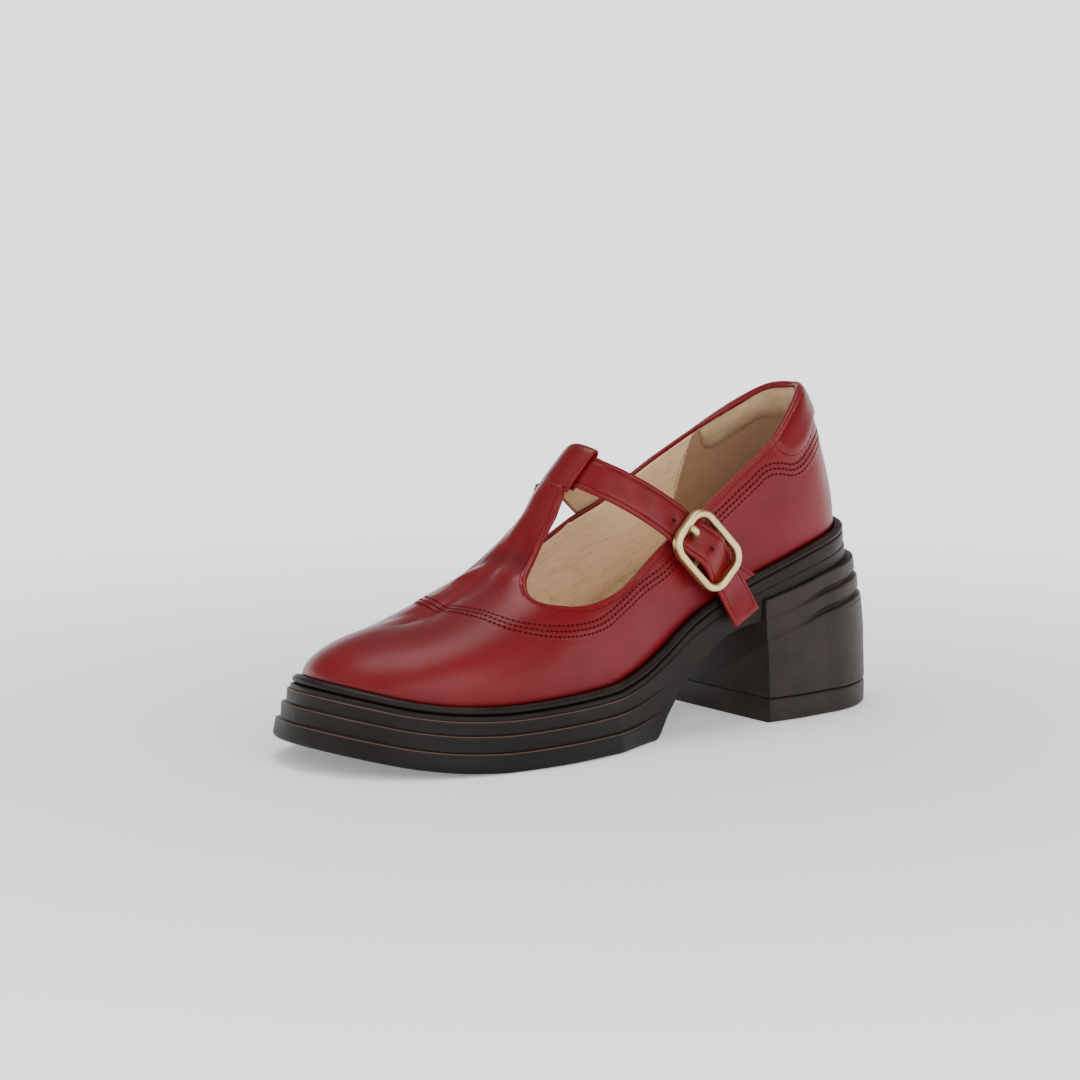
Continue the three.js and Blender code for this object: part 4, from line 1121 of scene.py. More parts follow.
    def ahead_of_throat(self, places: np.ndarray) -> np.ndarray:
        """How far places lie inside the vamp and T-bar, seen from above."""
        flat = places[:, :2]
        ring = np.vstack([self.throat, self.throat[:1]])
        gap, _ = nearest_on(flat, ring)
        inside = np.zeros(len(flat), bool)
        for (ax, ay), (bx, by) in zip(ring[:-1], ring[1:]):
            spans = (ay > flat[:, 1]) != (by > flat[:, 1])
            cross = ax + (flat[:, 1] - ay) * (bx - ax) / (by - ay if by != ay else 1e-9)
            inside ^= spans & (flat[:, 0] < cross)
        return np.where(inside, gap, -gap)

    def along_bar(self, places: np.ndarray) -> tuple[np.ndarray, np.ndarray]:
        """Distance down the T-bar from the strap's middle, and height over the strap's middle."""
        on_top = slice(int(np.argmax(self.strap.at[:, 0] > -24)), int(np.argmax(self.strap.at[:, 0] > 24)))
        x = self.strap.at[on_top, 0]
        columns = np.hstack([self.strap.at[on_top], self.strap.side[on_top], self.strap.out[on_top]])
        found = np.stack([np.interp(places[:, 0], x, columns[:, k]) for k in range(9)], axis=1)
        offset = places - found[:, :3]
        return dot(offset, found[:, 3:6]), dot(offset, found[:, 6:9])

    def cover(self, station: np.ndarray, rise: np.ndarray, margin: float) -> np.ndarray:
        """Positive where there is leather, and zero along its edge.

        Args:
            station: places round the foot.
            rise: their heights on the last.
            margin: how far inside the leather's edge to stop.

        Returns:
            Signed distances, about in millimetres.
        """
        places = self.last.surface(station, rise)
        down, _ = self.along_bar(places)
        bar_end = np.where(places[:, 2] > self.bar_above, down - self.bar_from, self.far)
        front = np.minimum(self.ahead_of_throat(places), bar_end)
        top, width = self.below_topline(places), self.corner
        share = np.clip(0.5 + (top - front) / (2 * width), 0, 1)
        return top * share + front * (1 - share) + width * share * (1 - share) - margin

    # relief of the outer face

    def pad_lift(self, places: np.ndarray) -> np.ndarray:
        """How far the padded collar stands out."""
        depth = self.pad_depth.at("depth", places[:, 1])
        below = self.below_topline(places)
        crown = 0.72 + 0.28 * smooth(below / 4.5)
        first, over = self.pad_start
        start = np.where(places[:, 0] < 0, smooth((places[:, 1] - first) / over), 1.0)
        ends = smooth((depth - below) / self.pad_blend) * smooth(depth / self.pad_blend)
        return self.pad_rise * crown * start * ends

    def bar_lift(self, places: np.ndarray) -> np.ndarray:
        """How far the T-bar rises on its way over the strap."""
        down, over = self.along_bar(places)
        ramp = smooth((self.bar_ramp - down) / (self.bar_ramp - self.bar_from))
        near = self.within(places, self.bar_zone)
        neck_x, neck_y, height, wide, long = self.neck
        aside, ahead = (places[:, 0] - neck_x) / wide, (places[:, 1] - neck_y) / long
        neck = height * np.exp(-(aside**2) - ahead**2) * smooth((down - self.bar_from) / self.neck_fade)
        neck = np.where(places[:, 2] > self.neck_above, neck, 0)
        return np.where(near, ramp * (self.bar_height - over), 0) + neck

    @staticmethod
    def within(places: np.ndarray, zone: Triple) -> np.ndarray:
        """Places near the T-bar's end: the zone is its half width, its rear and its lowest height."""
        x, y, z = places.T
        return (np.abs(x) < zone[0]) & (y < zone[1]) & (z > zone[2])

    def drape(self, places: np.ndarray) -> np.ndarray:
        """Slow unevenness of pulled leather."""
        x, y, z = places.T
        return (0.10 * np.sin(x / 9.0 + y / 13.0) * np.sin(z / 8.0 + y / 17.0)
                + 0.06 * np.sin(x / 4.7 - y / 6.3 + z / 5.1))

    def seam_step(self, places: np.ndarray) -> np.ndarray:
        """Low step where the quarters lie over the vamp along the sewn rows."""
        gap, spot = nearest_on(places, self.row_line)
        toward_top = np.where(self.below_topline(places) < self.below_topline(spot), 1.0, -1.0)
        band = gap * toward_top + self.row_gap + 0.9
        raised = self.step_rise * smooth(band / 1.4) * (1 - smooth((band - 5) / 12))
        outer_rows, middle_row = np.exp(-(((gap - self.row_gap) / 0.9) ** 2)), np.exp(-((gap / 0.8) ** 2))
        return raised - self.row_dent * (outer_rows + middle_row)

    def relief(self, places: np.ndarray) -> tuple[np.ndarray, np.ndarray]:
        """Height of the outer face over the last.

        Args:
            places: points on the last.

        Returns:
            The whole height, and the part of it that is folds.
        """
        folds = sum(crease.lift(places) for crease in self.creases)
        shape = self.pad_lift(places) + self.bar_lift(places) + self.seam_step(places) + self.drape(places)
        return shape + folds, folds

    # meshes

    def sheet(self, margin: float) -> bmesh.types.BMesh:
        """A fine grid over the last, cut along the leather's edge, with each vertex's place on the last."""
        bm, column, row = Sheet.grid(self.columns, self.rows)
        layers = [bm.verts.layers.float.new(name) for name in ("station", "rise", "cover")]
        t = column / self.columns * 2 - 1
        station = np.sign(t) * (np.abs(t) - self.ease * np.sin(2 * np.pi * np.abs(t)) / (2 * np.pi))
        rise = row / self.rows
        cover = self.cover(station, rise, margin)
        self.snap(bm, station, rise, cover, margin)
        for vert, values in zip(bm.verts, zip(station, rise, cover)):
            for layer, value in zip(layers, values):
                vert[layer] = value
        self.split(bm, layers, margin)
        return bm

    def crossings(self, ends: np.ndarray, station: np.ndarray, rise: np.ndarray, cover: np.ndarray,
                  margin: float) -> np.ndarray:
        """Share along each edge at which the leather ends.

        Args:
            ends: the two vertices of each edge.
            station: stations of all vertices.
            rise: heights of all vertices.
            cover: their signed distances from the leather's edge.
            margin: as in cover.

        Returns:
            One share for each edge.
        """
        a, b = ends[:, 0], ends[:, 1]
        low, high = np.zeros(len(ends)), np.ones(len(ends))
        sign = np.sign(cover[a])
        for _ in range(14):
            middle = (low + high) / 2
            place = (values[a] + (values[b] - values[a]) * middle for values in (station, rise))
            same = np.sign(self.cover(*place, margin)) == sign
            low, high = np.where(same, middle, low), np.where(same, high, middle)
        return (low + high) / 2

    def snap(self, bm: bmesh.types.BMesh, station: np.ndarray, rise: np.ndarray, cover: np.ndarray,
             margin: float) -> None:
        """Moves vertices that are close to the leather's edge onto it."""
        ends = np.array([[v.index for v in e.verts] for e in bm.edges])
        ends = ends[cover[ends[:, 0]] * cover[ends[:, 1]] < 0]
        share = self.crossings(ends, station, rise, cover, margin)
        moves: dict[int, Triple] = {}
        for (a, b), t in zip(ends, share):
            for vert, far, size in ((a, b, t), (b, a, 1 - t)):
                if size < 0.32 and size < moves.get(vert, (1,))[0]:
                    moves[vert] = (size, station[vert] + (station[far] - station[vert]) * size,
                                   rise[vert] + (rise[far] - rise[vert]) * size)
        for vert, (_, new_station, new_rise) in moves.items():
            station[vert], rise[vert], cover[vert] = new_station, new_rise, 0.0

    def split(self, bm: bmesh.types.BMesh, layers: Sequence[Any], margin: float) -> None:
        """Cuts the grid along the leather's edge and takes away what is beyond it."""
        station, rise, cover = (np.array([v[layer] for v in bm.verts]) for layer in layers)
        edges = [e for e in bm.edges if cover[e.verts[0].index] * cover[e.verts[1].index] < 0]
        ends = np.array([[v.index for v in e.verts] for e in edges])
        for edge, (a, b), t in zip(edges, ends, self.crossings(ends, station, rise, cover, margin)):
            first = edge.verts[0]
            _, made = bmesh.utils.edge_split(edge, first, float(t))
            made[layers[0]] = station[a] + (station[b] - station[a]) * t
            made[layers[1]] = rise[a] + (rise[b] - rise[a]) * t
            made[layers[2]] = 0.0
        on_edge = [v for v in bm.verts if v[layers[2]] == 0.0]
        bmesh.ops.connect_verts(bm, verts=on_edge)
        beyond = [f for f in bm.faces if min(v[layers[2]] for v in f.verts) < 0]
        bmesh.ops.delete(bm, geom=beyond, context="FACES")

    def wall_sheet(self, margin: float, depth: float | None) -> bmesh.types.BMesh:
        """One face of the upper's wall.

        Args:
            margin: how far inside the leather's edge it stops.
            depth: distance in from the last, or None for the outer face with its relief.

        Returns:
            The mesh, its normals outward.
        """
        bm = self.sheet(margin)
        layers = (bm.verts.layers.float[name] for name in ("station", "rise"))
        station, rise = (np.array([v[layer] for v in bm.verts]) for layer in layers)
        places = self.last.surface(station, rise)
        normals = self.last.normal(station, rise)
        if depth is None:
            lift, folds = self.relief(places)
        else:
            lift, folds = self.bar_lift(places) - depth, np.zeros(len(places))
        hollow, wear, rear_shade = (bm.verts.layers.float.new(name) for name in ("hollow", "wear", "rear_shade"))
        cover = self.cover(station, rise, 0.0)
        for vert, place, normal, height, fold, edge in zip(bm.verts, places, normals, lift, folds, cover):
            vert.co = place + normal * height
            # painted shade in the crease troughs
            vert[hollow] = float(np.clip(-fold * 1.1, 0, 1))
            # painted shade mark: the lining behind its back seam
            seam_y = self.rear_shade_from + self.rear_shade_lean * (place[2] - self.rear_shade_height)
            vert[rear_shade] = float(smooth(place[1] - seam_y))
            # lighter by the free edge, partly from rubbing and partly painted highlight, and painted
            # highlight on the fold ridges
            vert[wear] = float(np.clip(fold * 0.6, 0, 0.6) + 0.55 * (1 - smooth(edge / self.rim_wear_and_sheen)))
        bmesh.ops.remove_doubles(bm, verts=bm.verts, dist=0.01)
        bmesh.ops.dissolve_degenerate(bm, dist=0.005, edges=bm.edges)
        height = bm.verts.layers.float["rise"]
        self.even_edge(bm)
        for share, passes in self.middle_smoothing:
            middle = [v for v in bm.verts if v[height] > share and not v.is_boundary]
            for _ in range(passes):
                bmesh.ops.smooth_vert(bm, verts=middle, factor=0.5, use_axis_x=True, use_axis_y=True,
                                      use_axis_z=True)
        bmesh.ops.recalc_face_normals(bm, faces=bm.faces)
        sample = max(bm.faces, key=lambda f: f.calc_center_median().x)
        if sample.normal.x < 0:
            bmesh.ops.reverse_faces(bm, faces=bm.faces)
        return bm

    def even_edge(self, bm: bmesh.types.BMesh) -> None:
        """Takes small waves out of the sheet's free edge."""
        height = bm.verts.layers.float["rise"]
        free = [v for v in bm.verts if v.is_boundary and 0.02 < v[height] < 0.999]
        beside = {v: [e.other_vert(v) for e in v.link_edges if e.is_boundary] for v in free}
        for _ in range(self.edge_passes):
            moved = [v.co / 2 + (beside[v][0].co + beside[v][1].co) / 4 for v in free]
            for vert, place in zip(free, moved):
                vert.co = place

    def edge_line(self, bm: bmesh.types.BMesh) -> np.ndarray:
        """The leather's free edge in order, from the T-bar's outer side round the heel to its inner side."""
        free = {}
        for edge in bm.edges:
            if edge.is_boundary:
                a, b = edge.verts
                if min(v[bm.verts.layers.float["rise"]] for v in (a, b)) > 0.02:
                    free.setdefault(a, []).append(b)
                    free.setdefault(b, []).append(a)
        start = next(iter(free))
        ring, here, before = [start], free[start][0], start
        while here is not start:
            ring.append(here)
            following = [v for v in free[here] if v is not before]
            here, before = following[0], here
        points = np.array([v.co for v in ring])
        down, _ = self.along_bar(points)
        capped = self.within(points, self.cap_zone) & (down < self.bar_from + self.cap_slack)
        first = int(np.argmax(capped & ~np.roll(capped, -1)))
        points = np.roll(points, -first - 1, axis=0)
        capped = np.roll(capped, -first - 1)
        points = points[:int(np.argmax(capped))] if capped.any() else points
        return points if points[5, 0] > 0 else points[::-1]

    def build(self) -> Skin:
        """Makes the upper's pieces.

        Returns:
            The outer face, for what is sewn or laid on it.
        """
        leather = self.wall_sheet(0.0, None)
        skin = Skin(leather)
        rim = evenly(self.edge_line(leather), 1.1)
        outer = Piece("upper_leather", "upper_leather", [self.finishes[Finish.LEATHER]], ["upper"], 75)
        walled(outer.finish(leather), self.leather)
        lining = Piece("upper_lining", "lining_leather", [self.finishes[Finish.LINING]], sharp=75)
        walled(lining.finish(self.wall_sheet(0.5, self.lining_depth)), self.lining)
        self.build_seams(skin, self.build_rim(skin, rim))
        return skin

    def build_rim(self, skin: Skin, rim: np.ndarray) -> Line:
        """The folded edge round the opening.

        Args:
            skin: the upper's outer face.
            rim: points along its free edge.

        Returns:
            The edge's line on the face.
        """
        for _ in range(6):
            rim[1:-1] = (rim[:-2] + 2 * rim[1:-1] + rim[2:]) / 4
        line = skin.settle(rim)
        extra = self.pad_lift(line.points - line.normals)
        wide = (self.wall + extra) / 2
        folded = tube("topline_fold", line.points - line.normals * (wide - 0.06)[:, None], wide * 0.98)
        Piece("topline_fold", "upper_leather", [self.finishes[Finish.LEATHER]]).place(folded)
        return line

    def build_seams(self, skin: Skin, rim: Line) -> None:
        """Rows of stitches over the upper."""
        rows = Sewing(pitch=2.0, length=1.05, width=0.66, hole=0.66)
        for aside in (-self.row_gap, 0.0, self.row_gap):
            rows.sew(skin.drawn(self.vamp_row, 1.0, aside))
        rows.finish("vamp_rows", "upper_leather", self.finishes, Finish.THREAD, Finish.NEEDLE_HOLE_SHADE)
        edge = Sewing(pitch=1.7, length=1.15, width=0.38, hole=0.28)
        edge.sew(self.inside_of(skin, rim, self.rim_stitches))
        edge.sew(skin.drawn(self.pad_seam, 0.9))
        edge.finish("edge", "upper_leather", self.finishes, Finish.THREAD, Finish.NEEDLE_HOLE_SHADE)
        inner = Sewing(pitch=1.9, length=1.1, width=0.36, hole=0.3)
        for half in (-1.0, 1.0):
            rows_in = np.array([(half * station, rise, 0.0) for station, rise in self.lining_seam])
            station, rise, _ = evenly(curve(rows_in, np.linspace(0, 1, 120)), 0.004).T
            normal = self.last.normal(station, rise)
            depth = self.lining_depth + self.lining
            inner.sew(Line(self.last.surface(station, rise) - normal * depth, -normal), 0.02)
        inner.finish("lining_seam", "lining_leather", self.finishes, Finish.TAN_THREAD, Finish.TAN_HOLE_SHADE)

    @staticmethod
    def inside_of(skin: Skin, line: Line, distance: float) -> Line:
        """A line on the leather beside its free edge."""
        both = [skin.aside(line, sign * distance) for sign in (-1, 1)]
        return min(both, key=lambda side: side.points[:, 2].mean())


@dataclass
class BarLoop:
    """End of the T-bar folded over the strap."""

    finishes: Finishes
    start: float = -12.6
    end: float = 7.2
    thickness: float = 1.35
    steps: int = 34
    section: Rows = (
        (11.4, 2.35), (9.7, 2.62), (8.6, 2.92), (7.2, 3.05), (4, 3.1), (0, 3.12), (-4, 3.08), (-6.4, 2.98),
        (-8, 2.6), (-9.1, 1.8), (-9.7, 0.6), (-9.5, -0.7), (-8.6, -1.7), (-7, -2.15), (-3, -2.25), (3, -2.25),
        (8.4, -2.3))

    def build(self) -> None:
        """Makes the loop and its row of stitches."""
        line = Ribbon(STRAP_LINE, 400)
        first, last = (int(np.argmax(line.at[:, 0] > x)) for x in (self.start, self.end))
        ribbon = Ribbon(STRAP_LINE, self.steps, line.share[first], line.share[last])
        flat = np.array([(a, h, 0.0) for a, h in self.section])
        profile = evenly(curve(flat, np.linspace(0, 1, 200)), 0.9)
        bm = Sheet.laid(ribbon.place(profile[:, 0], profile[:, 1]))
        bmesh.ops.recalc_face_normals(bm, faces=bm.faces)
        top = max(bm.faces, key=lambda f: f.calc_center_median().z)
        if top.normal.z < 0:
            bmesh.ops.reverse_faces(bm, faces=bm.faces)
        sheet = Piece("t_bar_loop", "upper_leather", [self.finishes[Finish.LEATHER]], sharp=75).finish(bm)
        loop = walled(sheet, self.thickness)
        bevel = loop.modifiers.new("edge", "BEVEL")
        bevel.width = 0.45 * MM
        bevel.segments = 3
        bevel.limit_method = "ANGLE"
        bevel.angle_limit = math.radians(60)
        sewing = Sewing(pitch=1.6, length=1.1, width=0.4, hole=0.3)
        across = ribbon.place(np.array([10.2]), np.array([2.72]))[:, 0]
        sewing.sew(Line(across[1:-1], ribbon.out[1:-1]))
        sewing.finish("t_bar", "upper_leather", self.finishes, Finish.THREAD, Finish.NEEDLE_HOLE_SHADE)


# ---- straps


@dataclass
class Strap:
    """Band of folded and sewn leather."""

    name: str
    rows: Rows
    replaces: str
    finishes: Finishes
    width: float = 14.6
    thick: float = 1.8
    steps: int = 230
    inset: float = 1.9
    groove: float = 0.16
    crown: float = 0.14
    hole_reach: float = 1.5
    hole_dip: float = 0.55
    holes: Sequence[float] = ()
    sew_from: float = 2.0
    sew_to: float = 2.0
    sew_end: bool = False
    cut: Rows | None = None
    cut_reach: float = 24.0

    def profile(self) -> np.ndarray:
        """The section, from the under side's middle round by the top."""
        half, t = self.width / 2, self.thick / 2
        across = np.array([-1, -0.97, -0.9, -0.82, -0.76, -0.74, -0.72, -0.66, -0.5, -0.25, 0,
                           0.25, 0.5, 0.66, 0.72, 0.74, 0.76, 0.82, 0.9, 0.97, 1]) * half
        edge = np.clip((half - np.abs(across)) / 0.85, 0, 1)
        top = t * (0.25 + 0.75 * np.sqrt(1 - (1 - edge) ** 2)) + self.crown * (1 - (across / half) ** 2)
        top -= self.groove * np.exp(-(((np.abs(across) - half + self.inset) / 0.28) ** 2))
        under = np.array([0.97, 0.8, 0.4, 0, -0.4, -0.8, -0.97]) * half
        low = np.where(np.abs(under) > 0.9 * half, -0.75 * t, -t)
        return np.stack([np.concatenate([across, under]), np.concatenate([top, low])], axis=1)

    def build(self) -> None:
        """Makes the band, its stitches and its holes."""
        line = Ribbon(self.rows, self.steps)
        across, height = (np.repeat(self.profile()[None, :, k], self.steps + 1, axis=0) for k in (0, 1))
        along = line.length[:, None] + 0 * across
        upper = height > 0
        wrinkle = (0.10 * np.sin(along / 3.1 + across / 5.0) * np.sin(across / 3.3 - along / 7.0)
                   + 0.05 * np.sin(along / 1.7 - across / 2.1))
        fade = smooth((self.width / 2 - np.abs(across)) / 1.5)
        folds = np.where(upper, wrinkle * fade, 0)
        dips = 0 * across
        for at in self.holes:
            dips = dips + np.exp(-((along - at) ** 2 + across**2) / self.hole_reach**2)
        height = height + folds - np.where(upper, self.hole_dip * dips, 0)
        ends = 1 - 0.5 * (1 - smooth(np.minimum(along - along[0], along[-1] - along) / 0.9))
        height = height * ends
        # lighter along the edges, partly from rubbing and partly painted highlight, and painted highlight on
        # the wrinkle crests
        wear = 0.5 * np.exp(-(((self.width / 2 - np.abs(across)) / 0.7) ** 2)) + np.clip(folds, 0, 1) * 2.2
        # painted shade in the wrinkle troughs and in the dents round the holes
        hollow = np.clip(-folds * 3, 0, 1) + np.clip(dips, 0, 1)
        under = self.under_side(across, height)
        bm = Sheet.swept(line.place(across, height), wear=wear, hollow=hollow, under=under)
        if self.cut:
            spot, way = self.cut
            near = {v for v in bm.verts if (v.co - Vector(spot)).length < self.cut_reach}
            geometry = [*near, *(e for e in bm.edges if near.issuperset(e.verts)),
                        *(f for f in bm.faces if near.issuperset(f.verts))]
            made = bmesh.ops.bisect_plane(bm, geom=geometry, plane_co=spot, plane_no=way, clear_inner=True)
            open_edges = [e for e in made["geom_cut"] if isinstance(e, bmesh.types.BMEdge)]
            bmesh.ops.holes_fill(bm, edges=open_edges, sides=0)
        Piece(self.name, "upper_leather", [self.finishes[Finish.LEATHER]], [self.replaces], 60).finish(bm)
        self.sew(line)
        for number, at in enumerate(self.holes):
            self.punch(line, at, number)

    def under_side(self, across: np.ndarray, height: np.ndarray) -> np.ndarray:
        """Marks the unlined face against the foot."""
        return np.where((height < -self.thick * 0.3) & (np.abs(across) < self.width * 0.45), 1.0, 0.0)

    def sew(self, line: Ribbon) -> None:
        """Stitches along both edges, and across the tip where the band has a free one."""
        sewing = Sewing(pitch=1.75, length=1.15, width=0.38, hole=0.27)
        first, last = (int(line.index_at(r)) for r in (self.sew_from, line.length[-1] - self.sew_to))
        edge = self.width / 2 - self.inset
        for side in (-edge, edge):
            points = line.place(np.array([side]), np.array([self.thick / 2 - 0.02]))[:, 0]
            sewing.sew(Line(points[first:last + 1], line.out[first:last + 1]), 0.02)
        if self.sew_end:
            reach = np.linspace(-edge + 0.8, edge - 0.8, 12)
            middle = line.at[last] + line.out[last] * (self.thick / 2 + 0.08)
            points = middle + line.side[last] * reach[:, None]
            sewing.sew(Line(points, np.repeat(line.out[last][None], 12, axis=0)), 0.02)
        sewing.finish(self.name, "upper_leather", self.finishes, Finish.THREAD, Finish.NEEDLE_HOLE_SHADE)

    def punch(self, line: Ribbon, at: float, number: int) -> None:
        """A punched hole, seen as its dark bottom: a dark plug of painted shade."""
        index = int(round(line.index_at(at)))
        bm = bmesh.new()
        axes = np.stack([line.along[index], line.side[index], line.out[index]], axis=1)
        turn = Matrix(axes.tolist()).to_4x4()
        spot = line.at[index] + line.out[index] * (self.thick / 2 - 0.42)
        place = Matrix.Translation(Vector(spot)) @ turn
        bmesh.ops.create_cone(bm, cap_ends=True, segments=20, radius1=0.78, radius2=0.86, depth=0.3,
                              matrix=place)
        dark = [self.finishes[Finish.NEEDLE_HOLE_SHADE]]
        Piece(f"{self.name}_hole_{number + 1}", "upper_leather", dark).finish(bm)


# ---- buckle


@dataclass
class Buckle:
    """Rounded frame with a wide bevel, its centre bar and its prong."""

    finishes: Finishes
    centre: Triple = (35, 33.6, 69)
    axis: Triple = (0.12, 0.68, -0.72)
    out: Triple = (0.972, -0.01, 0.08)
    length: float = 30.5
    width: float = 22.4
    bar: float = 2.95
    corner: float = 7.6
    thick: float = 3.6
    bevel: float = 0.95
    prong: float = 1.5
    prong_line: Sequence[Pair] = (
        (-2.0, -1.6), (-6.0, -1.5), (-8.4, 0.4), (-10.2, 2.3), (-13.2, 3.1))
    eye: float = 1.95
    eye_wire: float = 0.5
    hinge: float = 1.1
    hinge_sink: float = 1.2

    def frame(self) -> Matrix:
        """Placement of the buckle: along, sideways and out."""
        out = Vector(self.out).normalized()
        along = Vector(self.axis)
        along = (along - out * along.dot(out)).normalized()
        side = out.cross(along).normalized()
        return Matrix.Translation(Vector(self.centre)) @ Matrix((along, side, out)).transposed().to_4x4()

    def build(self) -> None:
        """Makes the frame and the prong."""
        metal = [self.finishes[Finish.METAL]]
        Piece("buckle_ring", "buckle_metal", metal, ["buckle_frame"], 50).finish(self.ring())
        Piece("buckle_pin", "buckle_metal", metal, ["buckle_prong"]).place(self.rod())
        Piece("buckle_pin_eye", "buckle_metal", metal, sharp=50).finish(self.pin())

    def ring(self) -> bmesh.types.BMesh:
        """The frame, cut from a plate and bevelled, with its bar."""
        bm = bmesh.new()
        bmesh.ops.create_grid(bm, x_segments=1, y_segments=1, size=0.5)
        bmesh.ops.scale(bm, verts=bm.verts, vec=(self.length, self.width, 1))
        bmesh.ops.bevel(bm, geom=list(bm.verts), offset=self.corner, segments=12, profile=0.5,
                        affect="VERTICES", material=-1)
        bmesh.ops.inset_individual(bm, faces=list(bm.faces), thickness=self.bar, depth=0.0,
                                   use_even_offset=True)
        window = max(bm.faces, key=lambda face: len(face.verts))
        bmesh.ops.delete(bm, geom=[window], context="FACES")
        made = bmesh.ops.extrude_face_region(bm, geom=list(bm.faces))
        lifted = [g for g in made["geom"] if isinstance(g, bmesh.types.BMVert)]
        bmesh.ops.translate(bm, verts=lifted, vec=(0, 0, self.thick))
        bmesh.ops.translate(bm, verts=bm.verts, vec=(0, 0, -self.thick / 2))
        bmesh.ops.recalc_face_normals(bm, faces=bm.faces)
        corners = [e for e in bm.edges if len(e.link_faces) == 2 and e.calc_face_angle(0) > 1.2
                   and abs(e.verts[0].co.z - e.verts[1].co.z) < 0.01]
        bmesh.ops.bevel(bm, geom=corners, offset=self.bevel, segments=4, profile=0.5, affect="EDGES",
                        material=-1)
        bmesh.ops.create_cone(bm, cap_ends=True, segments=20, radius1=self.hinge, radius2=self.hinge,
                              depth=self.width - self.bar, matrix=self.on_hinge())
        bmesh.ops.transform(bm, verts=bm.verts, matrix=self.frame())
        return bm

    def on_hinge(self) -> Matrix:
        """Placement along the hinge bar, within the frame."""
        return Matrix.Translation((0, 0, -self.hinge_sink)) @ Matrix.Rotation(math.pi / 2, 4, "X")

    def pin(self) -> bmesh.types.BMesh:
        """The prong's eye round the bar."""
        ring = bmesh.new()
        place = Matrix.Translation((self.eye, 0, 0)) @ Matrix.Rotation(math.pi / 2, 4, "X")
        made = bmesh.ops.create_circle(ring, segments=10, radius=self.eye_wire, matrix=place)
        bmesh.ops.spin(ring, geom=[*made["verts"], *ring.edges], cent=(0, 0, 0), axis=(0, 0, 1),
                       dvec=(0, 0, 0), angle=2 * math.pi, steps=24, use_merge=True)
        bmesh.ops.recalc_face_normals(ring, faces=ring.faces)
        bmesh.ops.transform(ring, verts=ring.verts, matrix=self.frame() @ self.on_hinge())
        return ring

    def rod(self) -> bpy.types.Mesh:
        """The prong's rod, from under the strap up to the frame's edge, with a round end."""
        frame = self.frame()
        line = through([(a, 0.0, h) for a, h in self.prong_line], 0.35)
        points = np.array([frame @ Vector(at) for at in line])
        reach = np.linalg.norm(points - points[-1], axis=1)
        ends = np.minimum(reach, np.linalg.norm(points - points[0], axis=1))
        radii = self.prong * np.sqrt(np.clip(1 - (1 - np.clip(ends / self.prong, 0.06, 1)) ** 2, 0, 1))
        return tube("buckle_rod", points, radii)


# ---- sole


PLACES = ("front", "arch", "seat", "back")
BAND_FADE = Table("y front arch seat back", [
    (-18, 1, 0, 0, 0), (24, 0, 1, 0, 0), (50, 0, 1, 0, 0), (66, 0, 0, 1, 0), (96, 0, 0, 1, 0),
    (118, 0, 0, 0, 1)])
ARCH = Table("y z", [
    (5, -2.7), (9.5, 1.8), (12, 5.4), (16.2, 11.3), (21, 16.6), (30.4, 25.3), (40, 32.1), (48, 36),
    (63, 38.7)])
SEAT = Table("y z", [(63, 46.9), (76, 50.1), (96, 55.3), (116, 58.8), (140, 60.2)])
HEEL_BACK = Table("y back", [(92, 0), (119, 1)])


